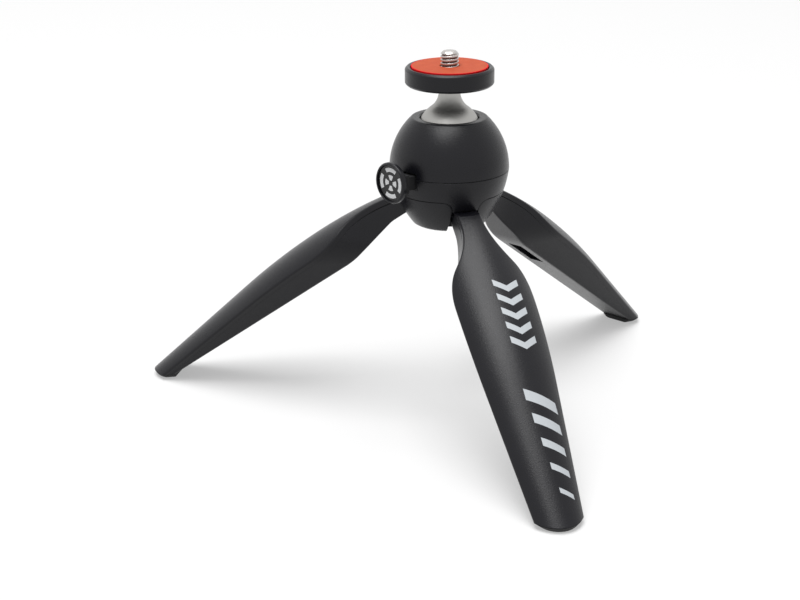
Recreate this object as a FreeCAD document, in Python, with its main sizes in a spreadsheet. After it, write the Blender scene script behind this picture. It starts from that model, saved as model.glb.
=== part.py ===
import FreeCAD, Part
import math
import os
import Sketcher

# Mini tripod with a push-button ball head and three folding legs.
# Origin: foot of the camera screw's thread, on its axis, just above the pad. +Z points up.
# Heights of the head and legs are given from the ring, the housing's widest level.

os.makedirs("parts", exist_ok=True)
document = FreeCAD.newDocument("MiniTripod")
sheet = document.addObject("Spreadsheet::Sheet", "Sizes")

# Driving sizes in millimetres and degrees
SIZES = {
    # camera screw, pad and platform
    "screw_diameter": 6.35,
    "screw_length": 5.2,
    "screw_tip": 0.7,
    "screw_relief_radius": 2.9,
    "screw_flange_radius": 5.2,
    "screw_flange_thick": 1.4,
    "pad_bore_radius": 3.6,
    "pad_radius": 13.5,
    "pad_thick": 1.5,
    "pad_drop": 0.1,
    "pad_proud": 0.3,
    "pad_gap": 0.25,
    "plate_radius": 15.6,
    "plate_height": 6.4,
    "plate_bevel": 0.8,
    # ball and neck
    "ball_radius": 11.3,
    "ball_height": 12.6,
    "neck_radius": 3.75,
    "flare_radius": 7.0,
    "spigot_radius": 2.9,
    "spigot_height": 2.8,
    # housing
    "ring_depth": 36.6,
    "housing_radius": 21.2,
    "dome_height": 18.35,
    "rim_radius": 13.27,
    "mouth_bevel": 0.5,
    "mouth_lip": 1.3,
    "belly_curve": 38.0,
    "belly_rise": 4.3,
    "housing_drop": 20.1,
    "housing_wall": 2.2,
    "seam": 0.25,
    "seam_depth": 0.45,
    "guide_radius": 13.6,
    "guide_drop": 15.3,
    # leg slots, tabs, lobes and carrier
    "slot_width": 9.7,
    "tab_drop": 11.4,
    "lobe_drop": 7.5,
    "lobe_corner": 3.4,
    "lobe_floor": 0.95,
    "carrier_top": 4.45,
    "carrier_gap": 0.15,
    "slot_ceiling": 6.9,
    "hub_gap": 1.25,
    "hub_plate_thick": 1.0,
    "hub_screw_head": 2.2,
    "hub_screw_head_thick": 0.7,
    "hub_screw_radius": 1.2,
    "hub_screw_rise": 4.1,
    # ball seat, clamp and springs
    "seat_gap": 0.3,
    "ring_height": 2.3,
    "cup_radius": 13.2,
    "cup_rim_drop": 2.1,
    "cup_floor": 1.2,
    "cup_stem_radius": 2.9,
    "nut_radius": 5.0,
    "nut_drop": 6.0,
    "nut_bore_drop": 7.5,
    "spring_radius": 4.0,
    "spring_wire": 0.9,
    "spring_drop": 15.0,
    "moving_room": 0.4,
    # button
    "button_azimuth": 205.2,
    "button_travel": 3.0,
    "wedge_slope": 0.15,
    "cap_radius": 7.25,
    "cap_stand": 7.5,
    "cap_thick": 2.1,
    "cap_bevel": 0.45,
    "cap_lip": 0.9,
    "cap_dish": 0.7,
    "face_thick": 0.6,
    "button_level": -0.4,
    "collar_width": 11.2,
    "collar_height": 6.4,
    "collar_length": 2.2,
    "stem_width": 8.7,
    "stem_height": 4.7,
    "stem_level": -0.75,
    "stem_gap": 0.15,
    "stem_inset": 4.7,
    "sleeve_wall": 0.5,
    "sleeve_inset": 1.0,
    "sleeve_length": 2.6,
    "wedge_plate_top": 1.1,
    "wedge_plate_bottom": 3.8,
    "wedge_plate_width": 12.0,
    "wedge_plate_reach": 6.0,
    "return_spring_radius": 1.2,
    "return_spring_wire": 0.4,
    "return_spring_level": 2.2,
    # leg hinges
    "open_angle": 54.7,
    "pin_inset": 9.7,
    "pin_drop": 11.35,
    "pin_radius": 1.5,
    "pin_bearing": 2.4,
    "running_gap": 0.05,
    "press_gap": 0.02,
    "washer_radius": 3.4,
    "washer_thick": 0.5,
    # legs, in the folded position, with depths below the hinge pin
    "knuckle_radius": 3.45,
    "neck_width": 8.4,
    "fold_gap": 4.5,
    "tongue_back": 2.5,
    "ramp_start": 12.4,
    "ramp_end": 32.4,
    "stop_gap": 0.2,
    "grip_inset": 1.2,
    "grip_peak": 38.9,
    "grip_upper_curve": 187.0,
    "grip_lower_curve": 266.0,
    "grip_taper": 8.0,
    "inner_width": 13.8,
    "side_flare": 38.7,
    "blend_start": 10.9,
    "inner_blend_end": 33.9,
    "outer_blend_end": 52.0,
    "cover_start": 4.3,
    "cover_thick": 2.0,
    "cover_seam": 0.25,
    "leg_end": 134.0,
    "rigid_drop": 86.1,
    "floor_drop": 88.1,
    "boot_seam": 0.1,
    "boot_inset": 0.2,
    "boot_corner": 3.5,
    "boot_length": 9.8,
    "sole_heel_width": 8.8,
    "sole_corner_width": 11.4,
    "sole_length": 8.5,
    "notch_start": 37.0,
    "notch_length": 17.0,
    "notch_width": 6.2,
    "notch_depth": 3.6,
    # how far fused shapes reach into each other, and cutting shapes past the piece
    "join": 0.5,
    "margin": 1.0,
}
for row, (alias, number) in enumerate(SIZES.items(), start=1):
    sheet.set(f"A{row}", alias)
    sheet.set(f"B{row}", str(number))
    sheet.setAlias(f"B{row}", alias)
document.recompute()


class Size:
    """A length or angle: its number, and its formula in the sheet's aliases."""

    def __init__(self, number, formula):
        self.number = float(number)
        self.formula = formula

    def __add__(self, other):
        other = as_size(other)
        return Size(self.number + other.number, f"({self.formula} + {other.formula})")

    def __sub__(self, other):
        other = as_size(other)
        return Size(self.number - other.number, f"({self.formula} - {other.formula})")

    def __rsub__(self, other):
        return as_size(other) - self

    def __mul__(self, other):
        other = as_size(other)
        return Size(self.number * other.number, f"({self.formula} * {other.formula})")

    def __truediv__(self, other):
        other = as_size(other)
        return Size(self.number / other.number, f"({self.formula} / {other.formula})")

    def __neg__(self):
        return Size(-self.number, f"(0 - {self.formula})")

    __radd__ = __add__
    __rmul__ = __mul__

    def root(self):
        return Size(math.sqrt(self.number), f"sqrt({self.formula})")

    def sine(self):
        return Size(math.sin(math.radians(self.number)), f"sin({self.formula})")

    def cosine(self):
        return Size(math.cos(math.radians(self.number)), f"cos({self.formula})")

    def tangent(self):
        return Size(math.tan(math.radians(self.number)), f"tan({self.formula})")


def as_size(value):
    return value if isinstance(value, Size) else Size(value, repr(float(value)))


def cell(alias):
    return Size(SIZES[alias], f"Sizes.{alias}")


def vector(x, y, z=0.0):
    return FreeCAD.Vector(x, y, z)


def turn(x, y, z, angle):
    return FreeCAD.Placement(vector(0, 0, 0), FreeCAD.Rotation(vector(x, y, z), angle))


def shift(x, y, z):
    return FreeCAD.Placement(vector(x, y, z), FreeCAD.Rotation())


# Sketch and feature helpers


def new_body(label, placement=None):
    body = document.addObject("PartDesign::Body", label)
    body.Label = label
    if placement is not None:
        body.Placement = placement
    return body


def new_sketch(body, role, name, offset=None, azimuth=0.0):
    """A sketch on one of the body's own planes, moved off it or turned about the Z axis."""
    sketch = body.newObject("Sketcher::SketchObject", name)
    plane = next(item for item in body.Origin.OriginFeatures if item.Role == role)
    sketch.AttachmentSupport = [(plane, "")]
    sketch.MapMode = "FlatFace"
    sketch.AttachmentOffset = turn(0, 1, 0, azimuth)
    if offset is not None:
        sketch.setExpression(".AttachmentOffset.Base.z", offset.formula)
    return sketch


def pin_coordinate(sketch, constraints, bindings, kind, place, value):
    """Holds one coordinate of a sketch point at a size."""
    axis = -2 if kind == "DistanceX" else -1
    if value.number == 0.0:
        constraints.append(Sketcher.Constraint("PointOnObject", place[0], place[1], axis))
        return
    bindings.append((len(constraints), value.formula))
    constraints.append(Sketcher.Constraint(kind, -1, 1, place[0], place[1], value.number))


def outline(sketch, corners, curves=None):
    """Closed outline through the corners. A curve's radius belongs to the edge that starts at
    its corner: positive turns left on the way, negative turns right."""
    curves = curves or {}
    corners = [(as_size(x), as_size(y)) for x, y in corners]
    first = sketch.GeometryCount
    shapes, starts, ends = [], [], []
    for index, corner in enumerate(corners):
        a = vector(corner[0].number, corner[1].number)
        following = corners[(index + 1) % len(corners)]
        b = vector(following[0].number, following[1].number)
        if index not in curves:
            shapes.append(Part.LineSegment(a, b))
            starts.append(1)
            ends.append(2)
            continue
        radius = curves[index].number
        chord = b - a
        left = vector(-chord.y, chord.x).normalize()
        reach = math.sqrt(radius * radius - chord.Length ** 2 / 4)
        centre = (a + b) * 0.5 + left * math.copysign(reach, radius)
        begin, finish = (a, b) if radius > 0 else (b, a)
        start_angle = math.atan2(begin.y - centre.y, begin.x - centre.x)
        end_angle = math.atan2(finish.y - centre.y, finish.x - centre.x)
        if end_angle < start_angle:
            end_angle += 2 * math.pi
        circle = Part.Circle(centre, vector(0, 0, 1), abs(radius))
        shapes.append(Part.ArcOfCircle(circle, start_angle, end_angle))
        starts.append(1 if radius > 0 else 2)
        ends.append(2 if radius > 0 else 1)
    sketch.addGeometry(shapes, False)
    constraints, bindings = [], []
    count = len(corners)
    for index in range(count):
        following = (index + 1) % count
        constraints.append(Sketcher.Constraint(
            "Coincident", first + index, ends[index], first + following, starts[following]))
    for index, (x, y) in enumerate(corners):
        place = (first + index, starts[index])
        pin_coordinate(sketch, constraints, bindings, "DistanceX", place, x)
        pin_coordinate(sketch, constraints, bindings, "DistanceY", place, y)
    for index, radius in curves.items():
        size = radius if radius.number > 0 else -radius
        bindings.append((len(constraints), size.formula))
        constraints.append(Sketcher.Constraint("Radius", first + index, size.number))
    bind(sketch, constraints, bindings)


def circle(sketch, x, y, radius):
    """A circle about a point."""
    x, y, radius = as_size(x), as_size(y), as_size(radius)
    first = sketch.GeometryCount
    round_edge = Part.Circle(vector(x.number, y.number), vector(0, 0, 1), radius.number)
    sketch.addGeometry([round_edge], False)
    constraints, bindings = [], []
    pin_coordinate(sketch, constraints, bindings, "DistanceX", (first, 3), x)
    pin_coordinate(sketch, constraints, bindings, "DistanceY", (first, 3), y)
    bindings.append((len(constraints), radius.formula))
    constraints.append(Sketcher.Constraint("Radius", first, radius.number))
    bind(sketch, constraints, bindings)


def bind(sketch, constraints, bindings):
    offset = sketch.ConstraintCount
    sketch.addConstraint(constraints)
    for position, formula in bindings:
        sketch.setExpression(f"Constraints[{offset + position}]", formula)


def rectangle(sketch, left, right, bottom, top):
    outline(sketch, [(left, bottom), (right, bottom), (right, top), (left, top)])


def revolve(body, name, corners, curves=None, cut=False):
    """Turns an outline in the XZ plane about the body's Z axis."""
    before = volume(body) if cut else 0.0
    sketch = new_sketch(body, "XZ_Plane", f"{name}Outline")
    outline(sketch, corners, curves)
    kind = "PartDesign::Groove" if cut else "PartDesign::Revolution"
    feature = body.newObject(kind, name)
    feature.Profile = sketch
    feature.ReferenceAxis = (sketch, ["V_Axis"])
    feature.Angle = 360
    if cut:
        must_cut(feature, before)
    return feature


def pad(body, name, sketch, length, symmetric=False, reverse=False):
    feature = body.newObject("PartDesign::Pad", name)
    feature.Profile = sketch
    feature.Reversed = reverse
    if symmetric:
        feature.SideType = "Symmetric"
    feature.setExpression("Length", length.formula)
    return feature


def pocket(body, name, sketch, length=None, symmetric=False, reverse=False):
    """Cuts a sketch by a length, or through everything on both sides."""
    before = volume(body)
    feature = body.newObject("PartDesign::Pocket", name)
    feature.Profile = sketch
    feature.Reversed = reverse
    if symmetric or length is None:
        feature.SideType = "Symmetric"
    if length is None:
        feature.Type = "ThroughAll"
    else:
        feature.setExpression("Length", length.formula)
    must_cut(feature, before)
    return feature


def three_times(body, feature, name):
    pattern = body.newObject("PartDesign::PolarPattern", name)
    pattern.Originals = [feature]
    axis = next(item for item in body.Origin.OriginFeatures if item.Role == "Z_Axis")
    pattern.Axis = (axis, [""])
    pattern.Angle = 360
    pattern.Occurrences = 3
    body.Tip = pattern
    return pattern


def turned(label, corners, curves=None, placement=None):
    """A body made by one revolution."""
    body = new_body(label, placement)
    revolve(body, "Turning", corners, curves)
    return body


def must_cut(feature, before):
    """The feature took material away, but not all of it."""
    document.recompute()
    after = feature.Shape.Volume
    assert 0.1 < after < before - 0.1, f"{feature.Name} went from {before:.1f} to {after:.1f}"


def volume(body):
    document.recompute()
    return body.Shape.Volume


# Places


def at_ring(azimuth=0.0):
    """The frame at the housing's ring, turned about the vertical axis."""
    return shift(0, 0, -SIZES["ring_depth"]) * turn(0, 0, 1, azimuth)


def at_hinge(azimuth):
    """The frame under the ring at the height of the hinge pins."""
    return at_ring(azimuth) * shift(0, 0, -SIZES["pin_drop"])


def on_leg(azimuth):
    """The folded leg's frame, swung out about its hinge pin to the open position. Its X axis
    points away from the tripod's axis, its Z axis up along the folded leg, from the pin."""
    out, back = shift(PIN_REACH.number, 0, 0), shift(-PIN_REACH.number, 0, 0)
    return at_hinge(azimuth) * out * turn(0, 1, 0, -SIZES["open_angle"]) * back


def facing_out():
    """Frame on the button's axis, with Z pointing outward."""
    level = shift(0, 0, SIZES["button_level"])
    return at_ring(SIZES["button_azimuth"]) * level * turn(0, 1, 0, 90)


LEGS = {"front": -90.0, "right": 30.0, "left": 150.0}
LOBES = {"back": 90.0, "button": 210.0, "front_right": -30.0}
BUTTON_SIDE = SIZES["button_azimuth"]
HALF_SLOT = cell("slot_width") / 2
MARGIN = cell("margin")
JOIN = cell("join")
PAD_SEAT = -cell("pad_drop") - cell("pad_thick")
PLATE_TOP = -cell("pad_drop") - cell("pad_proud")
PLATE_BOTTOM = PLATE_TOP - cell("plate_height")
BALL_CENTRE = cell("ball_height")
BALL_SEAT = cell("ball_radius") + cell("seat_gap")
MOUTH_LIP = cell("dome_height") - cell("mouth_lip")
LOBE_TOP = -cell("lobe_drop") - cell("seam")
CARRIER_BOTTOM = -cell("housing_drop") + cell("lobe_floor") + cell("carrier_gap")
STEM_BOTTOM = cell("stem_level") - cell("stem_height") / 2
STEM_TOP = cell("stem_level") + cell("stem_height") / 2
WEDGE_BOTTOM = -cell("wedge_plate_bottom")
WEDGE_END = cell("cup_stem_radius") + cell("button_travel") + cell("moving_room")
CAP_REACH = cell("housing_radius") + cell("cap_stand")
PIN_REACH = cell("housing_radius") - cell("pin_inset")
PIN_HALF = HALF_SLOT + cell("pin_bearing")
HUB_RADIUS = PIN_REACH - cell("knuckle_radius") - cell("hub_gap")
GRIP_RADIUS = cell("housing_radius") - cell("grip_inset")
DOME_SPREAD = cell("housing_radius") - cell("rim_radius")
DOME_CURVE = (DOME_SPREAD * DOME_SPREAD + cell("dome_height") * cell("dome_height")) / (DOME_SPREAD * 2)


def dome_radius(height):
    """Radius of the upper housing at a height above the ring."""
    rise = (DOME_CURVE * DOME_CURVE - height * height).root()
    return cell("housing_radius") - DOME_CURVE + rise


def belly_radius(height, inset=0.0):
    """Radius of the lower housing at a height above the ring, or of its curve set inward."""
    curve, rise = cell("belly_curve"), cell("belly_rise")
    axis = cell("housing_radius") - (curve * curve - rise * rise).root()
    lift = height - rise
    return axis + ((curve - inset) * (curve - inset) - lift * lift).root()


def seat_radius(height):
    """Radius of the sphere that the ball is held in, at a height above the ring."""
    lift = height - BALL_CENTRE
    return (BALL_SEAT * BALL_SEAT - lift * lift).root()


# Camera plate: screw, pad and platform disc


def camera_screw():
    """Screw with a flange under the pad, and a relief where its thread ends."""
    radius, tip = cell("screw_diameter") / 2, cell("screw_tip")
    relief, flange = cell("screw_relief_radius"), cell("screw_flange_radius")
    bottom = PAD_SEAT - cell("screw_flange_thick")
    turned("camera_screw", [
        (0, bottom),
        (flange, bottom),
        (flange, PAD_SEAT),
        (relief, PAD_SEAT),
        (relief, 0),
        (radius, 0),
        (radius, cell("screw_length") - tip),
        (radius - tip, cell("screw_length")),
        (0, cell("screw_length")),
    ])


def camera_pad():
    top = -cell("pad_drop")
    turned("camera_pad", [
        (cell("pad_bore_radius"), PAD_SEAT),
        (cell("pad_radius"), PAD_SEAT),
        (cell("pad_radius"), top),
        (cell("pad_bore_radius"), top),
    ])


def platform_disc():
    recess = cell("pad_radius") + cell("pad_gap")
    flange = cell("screw_flange_radius") + cell("press_gap")
    flange_seat = PAD_SEAT - cell("screw_flange_thick")
    bore = cell("spigot_radius") + cell("running_gap")
    bore_end = PLATE_BOTTOM + cell("spigot_height") + cell("running_gap")
    bevel = cell("plate_bevel")
    turned("platform_disc", [
        (bore, PLATE_BOTTOM),
        (cell("plate_radius") - bevel, PLATE_BOTTOM),
        (cell("plate_radius"), PLATE_BOTTOM + bevel),
        (cell("plate_radius"), PLATE_TOP - bevel),
        (cell("plate_radius") - bevel, PLATE_TOP),
        (recess, PLATE_TOP),
        (recess, PAD_SEAT),
        (flange, PAD_SEAT),
        (flange, flange_seat),
        (0, flange_seat),
        (0, bore_end),
        (bore, bore_end),
    ])


# Ball, pan ring and clamp


def ball_stem():
    """The ball runs into its neck through a flare that touches both."""
    ball, neck, flare = cell("ball_radius"), cell("neck_radius"), cell("flare_radius")
    reach = neck + flare
    rise = ((ball + flare) * (ball + flare) - reach * reach).root()
    touch = ball / (ball + flare)
    plate = PLATE_BOTTOM + cell("ring_depth")
    shoulder = plate - cell("running_gap")
    turned("ball_stem", [
        (0, BALL_CENTRE - ball),
        (reach * touch, BALL_CENTRE + rise * touch),
        (neck, BALL_CENTRE + rise),
        (neck, shoulder),
        (cell("spigot_radius"), shoulder),
        (cell("spigot_radius"), plate + cell("spigot_height")),
        (0, plate + cell("spigot_height")),
    ], {0: ball, 1: -flare}, at_ring())


def pan_ring():
    top = MOUTH_LIP - cell("running_gap")
    bottom = top - cell("ring_height")
    outer = cell("guide_radius") - cell("seat_gap")
    turned("pan_ring", [
        (seat_radius(bottom), bottom),
        (outer, bottom),
        (outer, top),
        (seat_radius(top), top),
    ], {3: -BALL_SEAT}, at_ring())


def clamp_cup():
    """Seat under the ball, with a stem that passes through the wedge plate."""
    rim = BALL_CENTRE - cell("cup_rim_drop")
    floor = BALL_CENTRE - BALL_SEAT - cell("cup_floor")
    foot = -cell("nut_drop")
    turned("clamp_cup", [
        (0, foot),
        (cell("cup_stem_radius"), foot),
        (cell("cup_stem_radius"), floor),
        (cell("cup_radius"), floor),
        (cell("cup_radius"), rim),
        (seat_radius(rim), rim),
        (0, BALL_CENTRE - BALL_SEAT),
    ], {5: -BALL_SEAT}, at_ring(BUTTON_SIDE))


def clamp_nut():
    """Collar on the cup's stem, with its top cut to the slope of the wedge plate."""
    body = new_body("clamp_nut", at_ring(BUTTON_SIDE))
    slope, radius = cell("wedge_slope"), cell("nut_radius")
    top = WEDGE_BOTTOM + slope * WEDGE_END - cell("seat_gap")
    sketch = new_sketch(body, "XY_Plane", "Ground", -cell("nut_drop"))
    circle(sketch, 0, 0, radius)
    circle(sketch, 0, 0, cell("cup_stem_radius") + cell("press_gap"))
    pad(body, "Collar", sketch, cell("nut_drop"))
    sketch = new_sketch(body, "XZ_Plane", "SlopeOutline")
    reach = radius + MARGIN
    outline(sketch, [
        (-reach, top + slope * reach),
        (reach, top - slope * reach),
        (reach, MARGIN),
        (-reach, MARGIN),
    ])
    pocket(body, "Slope", sketch)


def clamp_spring():
    spring_tube("clamp_spring", cell("spring_radius"), cell("spring_wire"),
                -cell("spring_drop"), -cell("nut_drop") - cell("running_gap"), at_ring())


def return_spring():
    place = at_ring(BUTTON_SIDE) * shift(0, 0, -SIZES["return_spring_level"]) * turn(0, 1, 0, -90)
    lowest = -cell("return_spring_level") - cell("return_spring_radius")
    end = belly_radius(lowest, cell("housing_wall")) - cell("carrier_gap")
    spring_tube("return_spring", cell("return_spring_radius"), cell("return_spring_wire"),
                cell("wedge_plate_reach") + cell("running_gap"), end, place)


def spring_tube(label, radius, wire, bottom, top, place):
    turned(label, [
        (radius - wire, bottom),
        (radius, bottom),
        (radius, top),
        (radius - wire, top),
    ], None, place)


# Housing


def upper_housing():
    """Dome with the ball's mouth, a guide bore for ring and cup, and half of the window."""
    body = new_body("upper_housing", at_ring(BUTTON_SIDE))
    bottom, top = cell("seam") / 2, cell("dome_height")
    edge = bottom + cell("seam")
    rim = top - cell("mouth_bevel")
    guide, guide_end = cell("guide_radius"), top - cell("guide_drop")
    inner = cell("housing_radius") - cell("housing_wall")
    revolve(body, "Dome", [
        (inner, bottom),
        (dome_radius(bottom) - cell("seam_depth"), bottom),
        (dome_radius(edge), edge),
        (dome_radius(top), top),
        (seat_radius(rim) + cell("mouth_bevel"), top),
        (seat_radius(rim), rim),
        (seat_radius(MOUTH_LIP), MOUTH_LIP),
        (guide, MOUTH_LIP),
        (guide, guide_end),
        (inner, guide_end),
    ], {2: DOME_CURVE, 5: -BALL_SEAT})
    stem_window(body)


def stem_window(body, azimuth=0.0):
    """Opening for the button's stem and sleeve, through the wall on one side."""
    around = cell("stem_gap") + cell("sleeve_wall") + cell("press_gap")
    sketch = new_sketch(body, "YZ_Plane", "WindowOutline", azimuth=azimuth)
    half = cell("stem_width") / 2 + around
    rectangle(sketch, -half, half, STEM_BOTTOM - around, STEM_TOP + around)
    pocket(body, "Window", sketch, cell("housing_radius") + MARGIN, reverse=True)


def button_sleeve():
    body = new_body("button_sleeve", at_ring(BUTTON_SIDE))
    start = cell("housing_radius") - cell("sleeve_inset") - cell("sleeve_length")
    sketch = new_sketch(body, "YZ_Plane", "SleeveOutline", start)
    for around in (cell("stem_gap") + cell("sleeve_wall"), cell("stem_gap")):
        half = cell("stem_width") / 2 + around
        rectangle(sketch, -half, half, STEM_BOTTOM - around, STEM_TOP + around)
    pad(body, "Sleeve", sketch, cell("sleeve_length"))


def tab_outline(sketch, edge, corner, bottom):
    """Outline of a leg slot's head, seen along the slot: straight sides at the edge distance,
    which turn outward through concave corners to the level where the lobes begin."""
    centre_y = HALF_SLOT + cell("lobe_corner")
    centre_z = LOBE_TOP - cell("lobe_corner")
    outline(sketch, [
        (-edge, bottom),
        (edge, bottom),
        (edge, centre_z),
        (centre_y, centre_z + corner),
        (-centre_y, centre_z + corner),
        (-edge, centre_z),
    ], {2: -corner, 4: -corner})


def lower_housing():
    """Ring under the seam, with a tab that closes each leg slot at the top."""
    body = new_body("lower_housing", at_ring(LEGS["right"]))
    top, wall = -cell("seam") / 2, cell("housing_wall")
    edge, tab = top - cell("seam"), -cell("tab_drop")
    band = -cell("lobe_drop")
    revolve(body, "Band", [
        (belly_radius(band, wall), band),
        (belly_radius(band), band),
        (belly_radius(edge), edge),
        (belly_radius(top) - cell("seam_depth"), top),
        (belly_radius(top, wall), top),
    ], {1: cell("belly_curve"), 4: wall - cell("belly_curve")})
    start = belly_radius(tab, wall) - MARGIN
    sketch = new_sketch(body, "YZ_Plane", "TabOutline", start)
    tab_outline(sketch, HALF_SLOT - cell("seam"), cell("lobe_corner") + cell("seam"), tab)
    three_times(body, pad(body, "Tab", sketch, belly_radius(band) + JOIN - start), "Tabs")
    under, outside = tab - JOIN, cell("housing_radius") + MARGIN
    revolve(body, "OuterTrim", [
        (belly_radius(under), under),
        (outside, under),
        (outside, band),
        (belly_radius(band), band),
    ], {3: -cell("belly_curve")}, cut=True)
    revolve(body, "InnerTrim", [
        (0, under),
        (belly_radius(under, wall), under),
        (belly_radius(band, wall), band),
        (0, band),
    ], {1: cell("belly_curve") - wall}, cut=True)
    stem_window(body, BUTTON_SIDE - LEGS["right"])


def lobe_cover(name, azimuth):
    """Rounded cover between two leg slots, with a floor that reaches the hub plate."""
    body = new_body(f"lobe_cover_{name}", at_ring(azimuth))
    wall, bottom = cell("housing_wall"), -cell("housing_drop")
    floor = bottom + cell("lobe_floor")
    hub = HUB_RADIUS + cell("seam")
    shell = revolve(body, "Shell", [
        (hub, bottom),
        (belly_radius(bottom), bottom),
        (belly_radius(LOBE_TOP), LOBE_TOP),
        (belly_radius(LOBE_TOP, wall), LOBE_TOP),
        (belly_radius(floor, wall), floor),
        (hub, floor),
    ], {1: cell("belly_curve"), 3: wall - cell("belly_curve")})
    shell.Angle = 120
    shell.Midplane = True
    sketch = new_sketch(body, "YZ_Plane", "SlotOutline", azimuth=60)
    tab_outline(sketch, HALF_SLOT, cell("lobe_corner"), bottom - MARGIN)
    slot = pocket(body, "Slot", sketch, cell("housing_radius"), reverse=True)
    three_times(body, slot, "Slots")


def leg_carrier():
    """Inner block with a slot and a pin bore for each leg, and the seat of the clamp spring."""
    body = new_body("leg_carrier", at_ring(LEGS["right"]))
    inset = cell("housing_wall") + cell("carrier_gap")
    top, step = -cell("carrier_top"), -cell("nut_bore_drop")
    nut_bore = cell("nut_radius") + cell("moving_room")
    spring_bore = cell("spring_radius") + cell("moving_room")
    spring_seat = -cell("spring_drop") - cell("running_gap")
    screw_bore = cell("hub_screw_radius") + cell("press_gap")
    screw_end = -cell("housing_drop") + cell("hub_screw_rise") + cell("running_gap")
    revolve(body, "Block", [
        (screw_bore, CARRIER_BOTTOM),
        (belly_radius(CARRIER_BOTTOM, inset), CARRIER_BOTTOM),
        (belly_radius(top, inset), top),
        (nut_bore, top),
        (nut_bore, step),
        (spring_bore, step),
        (spring_bore, spring_seat),
        (0, spring_seat),
        (0, screw_end),
        (screw_bore, screw_end),
    ], {1: cell("belly_curve") - inset})
    sketch = new_sketch(body, "YZ_Plane", "SlotOutline", HUB_RADIUS)
    rectangle(sketch, -HALF_SLOT, HALF_SLOT, CARRIER_BOTTOM - MARGIN, -cell("slot_ceiling"))
    three_times(body, pocket(body, "Slot", sketch, cell("housing_radius"), reverse=True), "Slots")
    sketch = new_sketch(body, "XZ_Plane", "PinOutline")
    circle(sketch, PIN_REACH, -cell("pin_drop"), cell("pin_radius") + cell("press_gap"))
    bore = pocket(body, "PinBore", sketch, PIN_HALF * 2, symmetric=True)
    three_times(body, bore, "PinBores")


def hub_plate():
    bottom = -cell("housing_drop")
    head_room = bottom + cell("hub_screw_head_thick") + cell("running_gap")
    top = bottom + cell("hub_plate_thick")
    bore = cell("hub_screw_radius") + cell("running_gap")
    head = cell("hub_screw_head") + cell("running_gap")
    turned("hub_plate", [
        (head, bottom),
        (HUB_RADIUS, bottom),
        (HUB_RADIUS, top),
        (bore, top),
        (bore, head_room),
        (head, head_room),
    ], None, at_ring())


def hub_screw():
    bottom = -cell("housing_drop")
    under_head = bottom + cell("hub_screw_head_thick")
    turned("hub_screw", [
        (0, bottom),
        (cell("hub_screw_head"), bottom),
        (cell("hub_screw_head"), under_head),
        (cell("hub_screw_radius"), under_head),
        (cell("hub_screw_radius"), bottom + cell("hub_screw_rise")),
        (0, bottom + cell("hub_screw_rise")),
    ], None, at_ring())


# Button


def button_cap():
    reach, radius = CAP_REACH, cell("cap_radius")
    back = reach - cell("cap_thick")
    bevel, lip = cell("cap_bevel"), cell("cap_radius") - cell("cap_lip")
    seat = reach - cell("cap_dish") - cell("face_thick")
    turned("button_cap", [
        (0, back),
        (radius - bevel, back),
        (radius, back + bevel),
        (radius, reach - bevel),
        (radius - bevel, reach),
        (lip, reach),
        (lip, seat),
        (0, seat),
    ], None, facing_out())


def button_face():
    top = CAP_REACH - cell("cap_dish")
    radius = cell("cap_radius") - cell("cap_lip") - cell("running_gap")
    turned("button_face", [
        (0, top - cell("face_thick")),
        (radius, top - cell("face_thick")),
        (radius, top),
        (0, top),
    ], None, facing_out())


def button_plunger():
    """Stem behind the cap, with a slotted wedge plate that draws the clamp nut down."""
    body = new_body("button_plunger", at_ring(BUTTON_SIDE))
    slope, tip = cell("wedge_slope"), cell("wedge_plate_reach")
    top, start = -cell("wedge_plate_top"), cell("housing_radius") - cell("stem_inset")
    end = start + JOIN
    sketch = new_sketch(body, "XZ_Plane", "PlateOutline")
    outline(sketch, [
        (-tip, WEDGE_BOTTOM + slope * (WEDGE_END + tip)),
        (WEDGE_END, WEDGE_BOTTOM),
        (end, WEDGE_BOTTOM),
        (end, top),
        (-tip, top),
    ])
    pad(body, "Plate", sketch, cell("wedge_plate_width"), symmetric=True)
    cap_back = CAP_REACH - cell("cap_thick")
    collar = cap_back - cell("collar_length")
    sketch = new_sketch(body, "XZ_Plane", "StemOutline")
    rectangle(sketch, start, collar + JOIN, STEM_BOTTOM, STEM_TOP)
    pad(body, "Stem", sketch, cell("stem_width"), symmetric=True)
    sketch = new_sketch(body, "XZ_Plane", "CollarOutline")
    half, level = cell("collar_height") / 2, cell("button_level")
    rectangle(sketch, collar, cap_back, level - half, level + half)
    pad(body, "Collar", sketch, cell("collar_width"), symmetric=True)
    sketch = new_sketch(body, "XY_Plane", "SlotOutline")
    half = cell("cup_stem_radius") + cell("moving_room")
    rectangle(sketch, -half, WEDGE_END, -half, half)
    pocket(body, "Slot", sketch)


# Legs


def grip_radius(depth, inset):
    """Radius of the legs' common outer surface above its widest level, at a depth below the
    hinge pin, or of the same surface set inward."""
    curve, rise = cell("grip_upper_curve"), cell("grip_peak") - depth
    return GRIP_RADIUS - curve + ((curve - inset) * (curve - inset) - rise * rise).root()


def trim_to_grip(body, inset, top, keep_outside=False):
    """Cuts the leg to the surface that the three folded legs share."""
    upper, lower = cell("grip_upper_curve") - inset, cell("grip_lower_curve") - inset
    taper, end = cell("grip_taper"), cell("leg_end")
    peak = cell("grip_peak")
    taper_depth = peak + lower * taper.sine()
    taper_radius = GRIP_RADIUS - cell("grip_lower_curve") + lower * taper.cosine()
    end_radius = taper_radius - (end - taper_depth) * taper.tangent()
    edge = 0 if keep_outside else GRIP_RADIUS * 2
    revolve(body, "GripTrim", [
        (grip_radius(top, inset), -top),
        (GRIP_RADIUS - inset, -peak),
        (taper_radius, -taper_depth),
        (end_radius, -end),
        (edge, -end),
        (edge, -top),
    ], {0: -upper, 1: -lower}, cut=True)


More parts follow.
